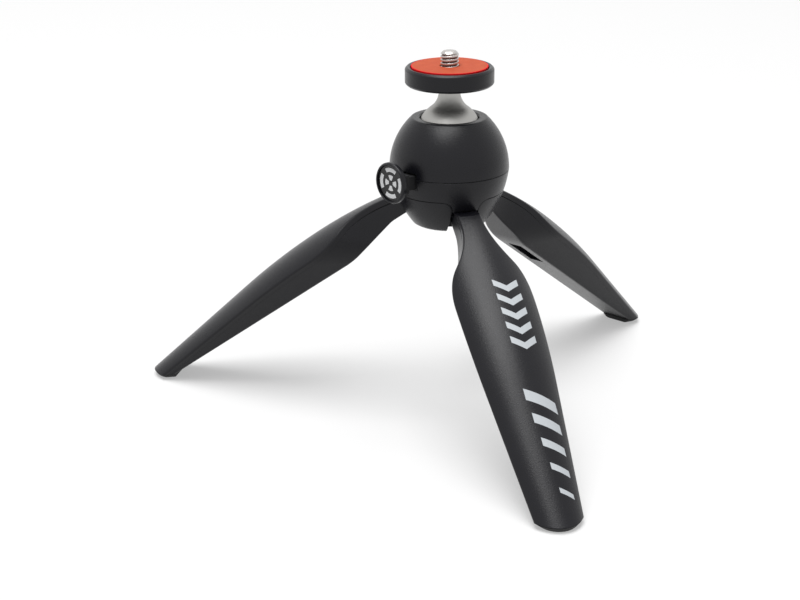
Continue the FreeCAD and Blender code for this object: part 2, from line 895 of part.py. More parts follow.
def half_width_sketch(body, name, reach, inset, width, blend_end):
    """The leg's outline seen from inside, at a reach from the tripod's axis. It runs from the
    narrow neck through two equal arcs to the full width."""
    neck = cell("neck_width") / 2 - inset
    wide = width - inset
    start, end, top = -cell("blend_start"), -blend_end, cell("knuckle_radius") + MARGIN
    spread, length = wide - neck, blend_end - cell("blend_start")
    bend = (length * length + spread * spread) / (4 * spread)
    middle = (neck + wide) / 2
    half_way = (start + end) / 2
    bottom = -cell("leg_end")
    sketch = new_sketch(body, "YZ_Plane", name, reach)
    outline(sketch, [
        (neck, top),
        (-neck, top),
        (-neck, start),
        (-middle, half_way),
        (-wide, end),
        (-wide, bottom),
        (wide, bottom),
        (wide, end),
        (middle, half_way),
        (neck, start),
    ], {2: -bend, 3: bend, 7: bend, 8: -bend})
    return sketch


def leg_blank(body, inset=0.0):
    """The leg's block between its two flaring sides."""
    inner, reach = cell("inner_width") / 2, GRIP_RADIUS + JOIN - cell("fold_gap")
    outer = inner + reach * cell("side_flare").tangent()
    near = half_width_sketch(body, "InnerOutline", cell("fold_gap"), inset, inner,
                             cell("inner_blend_end"))
    far = half_width_sketch(body, "OuterOutline", cell("fold_gap") + reach, inset, outer,
                            cell("outer_blend_end"))
    loft = body.newObject("PartDesign::AdditiveLoft", "Blank")
    loft.Profile = near
    loft.Sections = [far]
    loft.Ruled = True


def keep_profile(body, corners, curves=None):
    """Cuts away all that lies outside a side view in the XZ plane."""
    sketch = new_sketch(body, "XZ_Plane", "SideOutline")
    edge, end = GRIP_RADIUS * 2, cell("leg_end") * 2
    rectangle(sketch, -edge, edge, -end, edge)
    outline(sketch, corners, curves)
    pocket(body, "Side", sketch)


def from_open(outward, upward):
    """A point given from the hinge pin in the open leg's upright frame, in the leg's own."""
    angle = cell("open_angle")
    x = PIN_REACH + angle.cosine() * outward + angle.sine() * upward
    z = angle.cosine() * upward - angle.sine() * outward
    return x, z


def on_level(drop, x):
    """Where the open leg's level at a drop below the ring crosses the line at x in its frame."""
    angle = cell("open_angle")
    depth = (drop - cell("pin_drop") + (x - PIN_REACH) * angle.sine()) / angle.cosine()
    return x, -depth


def leg_core(name, azimuth):
    """Inner leg: knuckle on the pin, slim tongue, ramp to the flat inner face, and notch."""
    body = new_body(f"leg_core_{name}", on_leg(azimuth))
    leg_blank(body)
    knuckle, gap, pin = cell("knuckle_radius"), cell("fold_gap"), PIN_REACH
    outside, stop = GRIP_RADIUS + MARGIN, cell("tab_drop") + cell("stop_gap")
    drop = stop - cell("pin_drop")
    shoulder = from_open((knuckle * knuckle - drop * drop).root(), -drop)
    tongue = pin - cell("tongue_back")
    tongue_top = (knuckle * knuckle - (pin - tongue) * (pin - tongue)).root()
    keep_profile(body, [
        shoulder,
        (pin, knuckle),
        (tongue, -tongue_top),
        (tongue, -cell("ramp_start")),
        (gap, -cell("ramp_end")),
        on_level(cell("rigid_drop"), gap),
        on_level(cell("rigid_drop"), outside),
        on_level(stop, outside),
    ], {0: knuckle, 1: knuckle})
    trim_to_grip(body, cell("cover_thick") + cell("cover_seam"), cell("cover_start"))
    sketch = new_sketch(body, "XZ_Plane", "PinOutline")
    circle(sketch, pin, 0, cell("pin_radius") + cell("running_gap"))
    pocket(body, "PinBore", sketch)
    half, start = cell("notch_width") / 2, cell("notch_start")
    sketch = new_sketch(body, "YZ_Plane", "NotchOutline", gap)
    rectangle(sketch, -half, half, -start - cell("notch_length"), -start)
    pocket(body, "Notch", sketch, cell("notch_depth"), reverse=True)


def leg_cover(name, azimuth):
    """Outer shell of the leg, from the shoulder to the boot."""
    body = new_body(f"leg_cover_{name}", on_leg(azimuth))
    leg_blank(body)
    outside, stop = GRIP_RADIUS + MARGIN, cell("tab_drop") + cell("stop_gap")
    keep_profile(body, [
        on_level(stop, PIN_REACH + cell("running_gap")),
        (cell("fold_gap"), -cell("ramp_end")),
        on_level(cell("rigid_drop"), cell("fold_gap")),
        on_level(cell("rigid_drop"), outside),
        on_level(stop, outside),
    ])
    trim_to_grip(body, as_size(0), JOIN)
    trim_to_grip(body, cell("cover_thick"), JOIN, keep_outside=True)


def boot_outline(body, name, drop, half, corner_half, length):
    """Outline of the boot at a drop below the ring: heel, two widening sides and a round toe."""
    gap, flat = on_level(cell("rigid_drop"), cell("fold_gap"))
    angle = cell("open_angle")
    heel = PIN_REACH + (gap - PIN_REACH) * angle.cosine() - flat * angle.sine()
    heel = heel + cell("boot_inset")
    corner, toe = heel + cell("boot_corner") - cell("boot_inset"), heel + length
    bulge = toe - corner
    curve = (corner_half * corner_half + bulge * bulge) / (2 * bulge)
    sketch = new_sketch(body, "XY_Plane", name, -drop)
    outline(sketch, [
        (heel, half),
        (heel, -half),
        (corner, -corner_half),
        (corner, corner_half),
    ], {2: curve})
    return sketch


def leg_boot(name, azimuth):
    """Rubber sole under the level end of the open leg, narrower where it meets the floor."""
    body = new_body(f"leg_boot_{name}", at_ring(azimuth))
    inset = cell("boot_inset")
    half = cell("inner_width") / 2 - inset
    widening = cell("boot_corner") * cell("open_angle").cosine() * cell("side_flare").tangent()
    top = boot_outline(body, "TopOutline", cell("rigid_drop") + cell("boot_seam"), half,
                       half + widening, cell("boot_length") - inset * 2)
    sole = boot_outline(body, "SoleOutline", cell("floor_drop"), cell("sole_heel_width") / 2,
                        cell("sole_corner_width") / 2, cell("sole_length"))
    loft = body.newObject("PartDesign::AdditiveLoft", "Sole")
    loft.Profile = top
    loft.Sections = [sole]
    loft.Ruled = True


def hinge_pin(name, azimuth):
    place = at_hinge(azimuth) * shift(PIN_REACH.number, 0, 0) * turn(1, 0, 0, -90)
    half = PIN_HALF - cell("press_gap")
    turned(f"hinge_pin_{name}", [
        (0, -half),
        (cell("pin_radius"), -half),
        (cell("pin_radius"), half),
        (0, half),
    ], None, place)


def friction_washer(name, azimuth, side, angle):
    place = on_leg(azimuth) * shift(PIN_REACH.number, 0, 0) * turn(1, 0, 0, angle)
    start = cell("neck_width") / 2 + cell("press_gap")
    bore = cell("pin_radius") + cell("running_gap")
    turned(f"washer_{name}_{side}", [
        (bore, start),
        (cell("washer_radius"), start),
        (cell("washer_radius"), start + cell("washer_thick")),
        (bore, start + cell("washer_thick")),
    ], None, place)


camera_screw()
camera_pad()
platform_disc()
ball_stem()
pan_ring()
clamp_cup()
clamp_nut()
clamp_spring()
return_spring()
upper_housing()
button_sleeve()
lower_housing()
leg_carrier()
hub_plate()
hub_screw()
button_cap()
button_face()
button_plunger()
for lobe, azimuth in LOBES.items():
    lobe_cover(lobe, azimuth)
for leg, azimuth in LEGS.items():
    hinge_pin(leg, azimuth)
    leg_core(leg, azimuth)
    leg_cover(leg, azimuth)
    leg_boot(leg, azimuth)
    friction_washer(leg, azimuth, "a", -90)
    friction_washer(leg, azimuth, "b", 90)

document.recompute()
for item in document.Objects:
    assert "Invalid" not in item.State and "Error" not in item.State, item.Label
for body in document.findObjects("PartDesign::Body"):
    shape = body.Shape
    assert not shape.isNull() and shape.isValid() and len(shape.Solids) == 1, body.Label
    shape.exportStep(f"parts/{body.Label}.step")
    print(f"{body.Label}: {shape.Volume:.1f} mm3, {len(shape.Faces)} faces")
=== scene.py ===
# %% [markdown]
# # A pocket tripod, dressed for its portrait
#
# The construction model fixes where every part of the tripod sits and how it moves. This
# script gives each part its looks: rounded moulded edges, a real screw thread, satin plastic,
# turned aluminium and rubber. Where the plain solid already has the right shape, it only gets a
# material. Where the real part has softer edges or finer forms, a new mesh takes its place.

# %% Load the frame
import math

import bmesh
import bpy
from mathutils import Matrix, Vector


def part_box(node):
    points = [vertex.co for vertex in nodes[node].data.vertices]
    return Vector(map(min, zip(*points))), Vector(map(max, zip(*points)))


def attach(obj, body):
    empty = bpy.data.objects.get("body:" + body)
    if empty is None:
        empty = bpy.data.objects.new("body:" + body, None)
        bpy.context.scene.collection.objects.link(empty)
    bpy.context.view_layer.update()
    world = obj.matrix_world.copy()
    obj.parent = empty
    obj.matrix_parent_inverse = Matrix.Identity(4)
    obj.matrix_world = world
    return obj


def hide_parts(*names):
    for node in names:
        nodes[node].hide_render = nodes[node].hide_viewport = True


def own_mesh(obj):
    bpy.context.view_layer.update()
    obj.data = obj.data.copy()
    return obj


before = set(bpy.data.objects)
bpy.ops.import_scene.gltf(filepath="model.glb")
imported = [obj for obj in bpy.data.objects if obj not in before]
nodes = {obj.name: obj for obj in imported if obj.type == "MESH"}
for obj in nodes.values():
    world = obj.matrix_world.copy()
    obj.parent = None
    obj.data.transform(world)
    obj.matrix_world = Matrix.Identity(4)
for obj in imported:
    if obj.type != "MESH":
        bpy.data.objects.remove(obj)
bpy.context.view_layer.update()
MM = 0.001

# %% [markdown]
# ## Node trees as plain Python
#
# A material in Blender is a graph of nodes, and so is a Geometry Nodes tree. Wiring one by hand
# is long, so a small class wraps a node's output socket and lets Python's own operators add the
# Math nodes. `Tree` adds any other node in a single call. `Finish` is the tree of one material.

# %% Sockets that can be added and multiplied


class Signal:
    """An output socket that Python's operators work on."""

    def __init__(self, tree, socket):
        self.tree = tree
        self.socket = socket

    def maths(self, operation, *others):
        """One Math node, on this signal and the others."""
        return self.tree.node("ShaderNodeMath", {"operation": operation},
                              dict(enumerate((self,) + others)))

    def __add__(self, other):
        return self.maths("ADD", other)

    def __sub__(self, other):
        return self.maths("SUBTRACT", other)

    def __rsub__(self, other):
        return self * -1 + other

    def __mul__(self, other):
        return self.maths("MULTIPLY", other)

    __radd__ = __add__
    __rmul__ = __mul__

    def ramp(self, low, high):
        """0 below low, 1 above high, and a smooth rise between them."""
        return self.tree.node("ShaderNodeMapRange", {"interpolation_type": "SMOOTHSTEP"},
                              {"Value": self, "From Min": low, "From Max": high})

    def also(self, output):
        """Another output of the same node."""
        return Signal(self.tree, self.socket.node.outputs[output])


class Tree:
    """A node tree that adds a node with its settings and inputs in one call."""

    def __init__(self, tree):
        self.tree = tree

    def feed(self, slot, value):
        if isinstance(value, Signal):
            self.tree.links.new(value.socket, slot)
        else:
            slot.default_value = value

    def node(self, kind, settings, inputs, output=0):
        made = self.tree.nodes.new(kind)
        for name, value in settings.items():
            setattr(made, name, value)
        for name, value in inputs.items():
            self.feed(made.inputs[name], value)
        return Signal(self, made.outputs[output])


class Finish(Tree):
    """A procedural material with one Principled shader."""

    def __init__(self, name, **constants):
        self.material = bpy.data.materials.new(name)
        self.material.use_nodes = True
        super().__init__(self.material.node_tree)
        self.shader = self.tree.nodes["Principled BSDF"]
        for socket, value in constants.items():
            self.shader.inputs[socket.replace("_", " ")].default_value = value
        self.place = self.node("ShaderNodeTexCoord", {}, {}, "Object")

    def set(self, name, value):
        self.feed(self.shader.inputs[name], value)

    def along(self, axis):
        """Distance along an axis, in metres."""
        return self.node("ShaderNodeSeparateXYZ", {}, {"Vector": self.place}, axis)

    def radius(self):
        """Distance from the upright axis, in metres."""
        x, y = self.along("X"), self.along("Y")
        return (x * x + y * y).maths("SQRT")

    def noise(self, size, detail):
        """Grain whose lumps are about this many millimetres wide, from 0 to 1."""
        return self.node("ShaderNodeTexNoise", {},
                         {"Vector": self.place, "Scale": 1 / (size * MM), "Detail": detail})

    def blend(self, factor, first, second):
        """A colour between two, by a factor. A Mix node keeps its colours in sockets 6 and 7."""
        return self.node("ShaderNodeMix", {"data_type": "RGBA"},
                         {0: factor, 6: first, 7: second}, 2)

    def relief(self, height, depth):
        """Turns a height from 0 to 1 into bumps this many millimetres deep."""
        self.set("Normal", self.node("ShaderNodeBump", {}, {
            "Height": height, "Distance": depth * MM, "Strength": 1.0}))


def colour(red, green, blue):
    """A colour picked in screen values from 0 to 255, as the linear one that shaders use."""
    def linear(value):
        value /= 255
        return value / 12.92 if value <= 0.04045 else ((value + 0.055) / 1.055) ** 2.4
    return (linear(red), linear(green), linear(blue), 1.0)


def darker(shade, share):
    """The same colour at a share of its strength."""
    return tuple(part * share for part in shade[:3]) + (1.0,)


# %% [markdown]
# ## The finishes
#
# Nearly everything on this tripod is one charcoal plastic, moulded in a tool whose walls were
# spark-eroded to a fine matt grain. Such a grain scatters light into a soft wide sheen, and
# close up it sparkles. It is two layers of noise: a fine one for the grain itself, and a broad,
# faint one that keeps the sheen from looking computed.

# %% Moulded plastics
GRAIN_SIZE, GRAIN_DEPTH = 0.28, 0.045


def grained_plastic(name, shade, roughness):
    finish = Finish(name, Specular_IOR_Level=0.28)
    fine = finish.noise(GRAIN_SIZE, 2.0)
    broad = finish.noise(9.0, 3.0)
    sparkle = fine.ramp(0.58, 0.74)
    finish.set("Base Color", finish.blend(broad.ramp(0.3, 0.7), darker(shade, 0.88), shade))
    finish.set("Roughness", roughness + (broad - 0.5) * 0.05 - sparkle * 0.1)
    finish.relief(fine, GRAIN_DEPTH)
    return finish.material


charcoal = grained_plastic("charcoal_plastic", colour(20, 20, 25), 0.3)
inner_black = grained_plastic("inner_plastic", colour(24, 24, 26), 0.55)
print("plastics:", charcoal.name, inner_black.name)

# %% [markdown]
# The button's face is the one glossy plastic: a polished tool leaves it like dark glass, with
# only a hint of orange-peel waviness.

# %% Glossy plastic


def polished_plastic():
    finish = Finish("gloss_plastic", Specular_IOR_Level=0.3, Coat_Weight=0.1,
                    Coat_Roughness=0.08, Base_Color=colour(15, 15, 17))
    wave = finish.noise(1.6, 1.0)
    finish.set("Roughness", 0.24 + wave * 0.08)
    finish.relief(wave, 0.006)
    return finish.material


gloss_black = polished_plastic()

# %% [markdown]
# Two rubbers. The pad on top is a soft orange-red elastomer that grips the camera. Its flat top and
# its edge get two painted colours that stand in for light: a paler orange on the top, as painted
# light where daylight falls on it, and a deeper red on the edge, where light enters and leaves the
# rubber. The soles are plain dark grey rubber, a little dusty.

# %% Rubbers
PAD_PAINTED_EDGE, PAINTED_EDGE_FADE = 13.0, 0.12


def pad_finish():
    finish = Finish("pad_rubber", Specular_IOR_Level=0.3)
    fine = finish.noise(0.22, 2.0)
    cloudy = finish.noise(3.5, 3.0)
    # Painted light: the pad's edge is painted a deeper red and its top a paler orange, lit copies
    # of one rubber.
    edge = finish.radius().ramp(PAD_PAINTED_EDGE * MM, (PAD_PAINTED_EDGE + PAINTED_EDGE_FADE) * MM)
    top = finish.blend(cloudy.ramp(0.3, 0.7), colour(183, 77, 45), colour(190, 84, 50))
    finish.set("Base Color", finish.blend(edge, top, colour(228, 10, 18)))
    finish.set("Roughness", 0.62 + fine * 0.12)
    finish.relief(fine, 0.02)
    return finish.material


def sole_finish():
    finish = Finish("boot_rubber", Specular_IOR_Level=0.35)
    fine = finish.noise(0.35, 3.0)
    dust = finish.noise(2.4, 4.0).ramp(0.55, 0.8)
    finish.set("Base Color", finish.blend(dust * 0.5, colour(60, 60, 61), colour(88, 87, 86)))
    finish.set("Roughness", 0.6 + fine * 0.2)
    finish.relief(fine, 0.03)
    return finish.material


pad_red = pad_finish()
sole_grey = sole_finish()
print("rubbers:", pad_red.name, sole_grey.name)

# %% [markdown]
# Two metals. The ball and its neck are aluminium, turned on a lathe and then bead blasted to a
# satin white. The lathe leaves faint rings round the axis, so the roughness ripples with height.
# The camera screw is bright nickel-plated steel. The grooves of its thread are painted a darker
# reddish brown: painted shade in the recesses, with a painted reflection of the red pad. The pins,
# nuts and springs inside are the same steel, without that painted shade.

# %% Metals
GROOVE_SHADE_FADE = 0.3


def turned_metal(name, shade, roughness, ripple, ripple_width, groove_shade=None):
    """A lathe-turned metal. The groove argument gives the colour painted into a thread's grooves,
    as painted shade with a painted reflection of the pad, then the radii it fades between and the
    height it ends at."""
    finish = Finish(name, Metallic=1.0)
    height = finish.along("Z")
    rings = (height * (2 * math.pi / (ripple_width * MM))).maths("SINE")
    satin = finish.noise(0.4, 3.0)
    tone = finish.blend(satin, darker(shade, 0.94), shade)
    # The grooves get a painted shade, which also stands in for the pad's reflection.
    if groove_shade:
        shade_and_pad_reflection, root, crest, top = groove_shade
        outside = finish.radius().ramp(root * MM, crest * MM)
        above = height.ramp((top - GROOVE_SHADE_FADE) * MM, top * MM)
        tone = finish.blend(outside.maths("MAXIMUM", above), shade_and_pad_reflection, tone)
    finish.set("Base Color", tone)
    finish.set("Roughness", roughness + rings * ripple + (satin - 0.5) * 0.08)
    finish.relief(satin + rings * 0.3, 0.004)
    return finish.material


aluminium = turned_metal("aluminium", colour(182, 181, 178), 0.46, 0.03, 0.31)
# The screw's groove colour is painted shade with a painted reflection of the pad.
screw_steel = turned_metal("screw_steel", colour(196, 193, 190), 0.27, 0.02, 0.17,
                           (colour(104, 80, 74), 2.72, 3.05, 4.2))
steel = turned_metal("steel", colour(190, 187, 184), 0.26, 0.02, 0.17)
print("metals:", aluminium.name, screw_steel.name, steel.name)

# %% [markdown]
# The printed marks are pad-printed ink, slightly chalky, with the plastic's grain showing
# through it: a pale grey on the leg and a whiter one on the button.

# %% Ink


def ink_finish(name, dull, bright):
    finish = Finish(name, Specular_IOR_Level=0.4)
    fine = finish.noise(GRAIN_SIZE, 2.0)
    finish.set("Base Color", finish.blend(fine, dull, bright))
    finish.set("Roughness", 0.5 + fine * 0.1)
    finish.relief(fine, 0.01)
    return finish.material


ink = ink_finish("print_ink", colour(192, 197, 202), colour(208, 213, 217))
white_ink = ink_finish("white_ink", colour(236, 238, 240), colour(248, 249, 250))
print("inks:", ink.name, white_ink.name)

# %% [markdown]
# ## Building meshes
#
# The tripod is measured in millimetres and degrees, and Blender counts in metres and radians. A
# few short helpers turn one into the other, and `evenly` gives the steps of every curve below.

# %% Places and even steps
ORIGIN = Matrix.Identity(4)


def shift(x, y, z):
    """A move in millimetres."""
    return Matrix.Translation((x * MM, y * MM, z * MM))


def turn_about(axis, degrees):
    return Matrix.Rotation(math.radians(degrees), 4, axis)


def round_point(radius, azimuth, height):
    """A point in metres, from millimetres and an azimuth in radians."""
    return Vector((radius * math.cos(azimuth), radius * math.sin(azimuth), height)) * MM


def evenly(start, end, count):
    """Values at equal steps from start to end, one more than the count."""
    return [start + (end - start) * i / count for i in range(count + 1)]


def clamped(value):
    """The value, kept between 0 and 1."""
    return min(max(value, 0.0), 1.0)


# %% [markdown]
# Almost every shape here is a stack of rings: a turned part is a stack of circles, and a leg is
# a stack of cross-sections. `skin` joins the rings with quads. `eased` rounds the corners of an
# outline, because no moulded or machined edge is truly sharp, and those small radii are what
# catches the light.

# %% Rings, skins and rounded corners
SHARP_ANGLE = 38.0
MERGE_WITHIN, SLIVER = 2e-6, 1e-7
CORNER_STEPS = 5


def put(name, data):
    """A new object in the scene, for a mesh, a lamp or a camera."""
    made = bpy.data.objects.new(name, data)
    bpy.context.scene.collection.objects.link(made)
    return made


def smooth(mesh, sharp=SHARP_ANGLE):
    """Shades a mesh smooth, except where its surface turns by more than the sharp angle."""
    mesh.shade_smooth()
    mesh.set_sharp_from_angle(angle=math.radians(sharp))


def store(shape, mesh):
    """Turns a shape's faces outward and writes it to a mesh."""
    bmesh.ops.recalc_face_normals(shape, faces=shape.faces)
    shape.to_mesh(mesh)
    shape.free()


def add_piece(name, points, faces, finish, sharp=SHARP_ANGLE):
    """A mesh object at the origin, in metres, with doubles merged and faces outward."""
    shape = bmesh.new()
    corners = [shape.verts.new(point) for point in points]
    for face in faces:
        shape.faces.new([corners[i] for i in face])
    bmesh.ops.remove_doubles(shape, verts=shape.verts, dist=MERGE_WITHIN)
    bmesh.ops.dissolve_degenerate(shape, edges=shape.edges, dist=SLIVER)
    mesh = bpy.data.meshes.new(name)
    store(shape, mesh)
    smooth(mesh, sharp)
    mesh.materials.append(finish)
    return put(name, mesh)


def strip(near, far, closed=True):
    """Quads between two rows of point numbers. A closed strip also joins its ends."""
    count = len(near)
    return [(near[i], near[(i + 1) % count], far[(i + 1) % count], far[i])
            for i in range(count if closed else count - 1)]


def skin(name, rings, finish, closed=False, sharp=SHARP_ANGLE):
    """Joins rings of equal length with quads. A closed skin joins the last ring to the first,
    and any other gets a face over each end."""
    count = len(rings[0])
    rows = [range(start, start + count) for start in range(0, len(rings) * count, count)]
    following = rows[1:] + (rows[:1] if closed else [])
    faces = [face for near, far in zip(rows, following) for face in strip(near, far)]
    if not closed:
        faces += [tuple(rows[0]), tuple(rows[-1])]
    return add_piece(name, [point for ring in rings for point in ring], faces, finish, sharp)


def eased(corners, closed=False):
    """An outline of (across, up, radius) corners with each corner rounded by its radius, and a
    support point on both sides of the curve that keeps the flats flat."""
    outline = []
    count = len(corners)
    for index, (x, y, radius) in enumerate(corners):
        here = Vector((x, y))
        if radius == 0 or (not closed and index in (0, count - 1)):
            outline.append(here)
            continue
        before = Vector(corners[index - 1][:2]) - here
        after = Vector(corners[(index + 1) % count][:2]) - here
        half = before.angle(after) / 2
        reach = min(radius / math.tan(half), before.length * 0.49, after.length * 0.49)
        before.normalize()
        after.normalize()
        support = reach * 1.25
        outline.append(here + before * support)
        outline += [here + before * reach * (1 - share) ** 2 + after * reach * share ** 2
                    for share in evenly(0, 1, CORNER_STEPS)]
        outline.append(here + after * support)
    return [(point.x, point.y) for point in outline]


def lathe(name, profile, finish, place=ORIGIN, steps=144, closed=False):
    """Turns an outline of (radius, height) points in millimetres about the Z axis."""
    turns = evenly(0, 2 * math.pi, steps)[:-1]
    rings = [[place @ round_point(radius, turn, height) for turn in turns]
             for radius, height in profile]
    return skin(name, rings, finish, closed=closed)


def dressed(piece, body, slot, *replaced):
    """Rides the piece on its body and hides the plain solids it stands for. Its slot is not used.
    """
    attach(piece, body)
    if replaced:
        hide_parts(*replaced)
    print(f"{piece.name}: {len(piece.data.polygons)} faces")
    return piece


# %% [markdown]
# ## The camera plate
#
# A plastic disc carries the pad and the screw. Its outline is turned, with a soft bevel above
# and below. The pad sits in a shallow tray, so a thin dark line of shadow rings it.

# %% Platform disc and pad
disc_low, disc_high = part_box("platform_disc")
plate_radius, plate_top, plate_bottom = disc_high.x / MM, disc_high.z / MM, disc_low.z / MM
pad_low, pad_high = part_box("camera_pad")
pad_radius, pad_top, pad_seat = pad_high.x / MM, pad_high.z / MM, pad_low.z / MM
PAD_GAP, PAD_BORE, TRAY_LIP = 0.3, 3.35, 0.2
FLANGE_RADIUS, FLANGE_SEAT = 5.22, pad_seat - 1.4
BORE_RADIUS, BORE_TOP = 2.95, plate_bottom + 2.85
BEVEL = 0.8

dressed(lathe("platform_disc_look", eased([
    (0, BORE_TOP, 0),
    (BORE_RADIUS, BORE_TOP, 0.1),
    (BORE_RADIUS, plate_bottom, 0.15),
    (plate_radius - BEVEL, plate_bottom, 0.5),
    (plate_radius, plate_bottom + BEVEL, 0.7),
    (plate_radius, plate_top - BEVEL, 0.8),
    (plate_radius - BEVEL, plate_top, 0.45),
    (pad_radius + PAD_GAP, plate_top - TRAY_LIP, 0.2),
    (pad_radius + PAD_GAP, pad_seat, 0.1),
    (FLANGE_RADIUS, pad_seat, 0.1),
    (FLANGE_RADIUS, FLANGE_SEAT, 0.1),
    (0, FLANGE_SEAT, 0),
]), charcoal), "platform", "charcoal_plastic", "platform_disc")

dressed(lathe("camera_pad_look", eased([
    (PAD_BORE, pad_seat, 0.1),
    (pad_radius, pad_seat, 0.1),
    (pad_radius, pad_top, 0.2),
    (PAD_BORE, pad_top, 0.25),
], closed=True), pad_red, closed=True), "platform", "pad_rubber", "camera_pad")

# %% [markdown]
# ## The camera screw
#
# The quarter-inch tripod thread has 20 turns to the inch, a pitch of 1.27 mm. A thread can be
# swept along a helix, but a height map on a cylinder is easier to control: each point's radius
# depends on how far it is round and up. The rounded end is then simply the smaller of the
# thread's radius and the tip's.

# %% Threaded screw
screw_low, screw_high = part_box("camera_screw")
flange_radius, screw_top = screw_high.x / MM, screw_high.z / MM
PITCH, CREST, ROOT = 1.27, 3.175, 2.62
ROOT_FLAT, FLANK = 0.12, 0.5
THREAD_FOOT, THREAD_RISE, THREAD_STEPS = pad_seat + 0.1, 0.07, 96
TIP_START, TIP_RADIUS, TIP_DOME = 4.1, 2.0, 0.12


def thread_radius(turn, height):
    """Radius of a thread with rounded crests and roots, cut off by the rounded tip."""
    phase = (height / PITCH - turn) % 1.0
    share = clamped((abs(2 * phase - 1) - ROOT_FLAT) / FLANK)
    radius = ROOT + (CREST - ROOT) * share * share * (3 - 2 * share)
    beyond = max(0.0, (height - TIP_START) / (screw_top - TIP_START))
    return min(radius, CREST - (CREST - TIP_RADIUS) * beyond ** 1.25)


def screw_rings():
    """Rings of the flange, the thread and the domed tip."""
    turns = evenly(0, 1, THREAD_STEPS)[:-1]
    rows = math.ceil((screw_top - TIP_DOME - THREAD_FOOT) / THREAD_RISE)
    heights = [THREAD_FOOT + THREAD_RISE * row for row in range(rows)]
    dome = [(0.93, 0.1), (0.8, 0.045), (0.55, 0.012), (0.3, 0.0), (0.0, 0.0)]
    outlines = [[(flange_radius, height)] * THREAD_STEPS for height in (screw_low.z / MM, pad_seat)]
    outlines += [[(thread_radius(turn, height), height) for turn in turns] for height in heights]
    outlines += [[(TIP_RADIUS * share, screw_top - drop)] * THREAD_STEPS for share, drop in dome]
    return [[round_point(radius, 2 * math.pi * turn, height)
             for turn, (radius, height) in zip(turns, outline)] for outline in outlines]


dressed(skin("camera_screw_look", screw_rings(), screw_steel, sharp=60.0),
        "platform", "steel", "camera_screw")

# %% [markdown]
# ## Ball and neck
#
# The ball and its neck are turned from one bar of aluminium. The neck flares into the ball
# through an arc that touches both, so light runs down it without a break. The point where the
# arcs meet lies on the line between their centres.

# %% Ball stem
RING_DEPTH = 36.6
BALL_RADIUS, BALL_HEIGHT = 11.3, 12.6
NECK_RADIUS, FLARE_RADIUS = 3.75, 7.0
PLAY = 0.05


def arc(centre, radius, start, end, steps):
    """Points on a circle between two angles in degrees."""
    angles = [math.radians(angle) for angle in evenly(start, end, steps)]
    return [(centre[0] + radius * math.cos(a), centre[1] + radius * math.sin(a)) for a in angles]


def ball_profile():
    ball = (0.0, BALL_HEIGHT - RING_DEPTH)
    rise = math.sqrt((BALL_RADIUS + FLARE_RADIUS) ** 2 - (NECK_RADIUS + FLARE_RADIUS) ** 2)
    flare = (NECK_RADIUS + FLARE_RADIUS, ball[1] + rise)
    touch = math.degrees(math.atan2(rise, NECK_RADIUS + FLARE_RADIUS))
    profile = arc(ball, BALL_RADIUS, -90, touch, 60)
    profile += arc(flare, FLARE_RADIUS, 180 + touch, 180, 18)[1:]
    profile += eased([
        (NECK_RADIUS, flare[1], 0),
        (NECK_RADIUS, plate_bottom - PLAY, 0.1),
        (BORE_RADIUS - PLAY, plate_bottom - PLAY, 0.05),
        (BORE_RADIUS - PLAY, BORE_TOP - PLAY, 0.2),
        (0, BORE_TOP - PLAY, 0),
    ])[1:]
    return profile


dressed(lathe("ball_stem_look", ball_profile(), aluminium), "ball", "aluminium", "ball_stem")

# %% [markdown]
# ## The housing's two halves
#
# The housing is egg-shaped and split at its widest level, the ring. A groove at the split
# hides any mismatch between the halves, and its lower edge catches the light. The upper half is
# turned, then a boolean cuts the window for the button's stem. The outline gives the dome its
# flat rim round the ball with a soft outer edge.

# %% Upper housing
HOUSING_RADIUS, WALL = 21.2, 2.2
DOME_CURVE, DOME_HEIGHT = 25.2, 18.35
DOME_START, DOME_END, DOME_ROWS, RIM_START = 1.17, 17.12, 29, 16.9
BELLY_CURVE, BELLY_RISE = 38.0, 4.3
SEAM, RING_SEAM, SEAM_DEPTH = 0.12, 0.1, 0.18
MOUTH_RADIUS, MOUTH_BEVEL = 10.34, 0.5
GUIDE_RADIUS, GUIDE_END = 13.6, 3.05
LIP_RADIUS, MOUTH_LIP = 10.72, 17.05
at_ring = shift(0, 0, -RING_DEPTH)


def dome_radius(height):
    """Radius of the upper housing at a height above the ring."""
    return HOUSING_RADIUS - DOME_CURVE + math.sqrt(DOME_CURVE ** 2 - height ** 2)


def belly_radius(height, inset=0.0):
    """Radius of the lower housing at a height above the ring, or set inward."""
    axis = HOUSING_RADIUS - math.sqrt(BELLY_CURVE ** 2 - BELLY_RISE ** 2)
    return axis + math.sqrt((BELLY_CURVE - inset) ** 2 - (height - BELLY_RISE) ** 2)


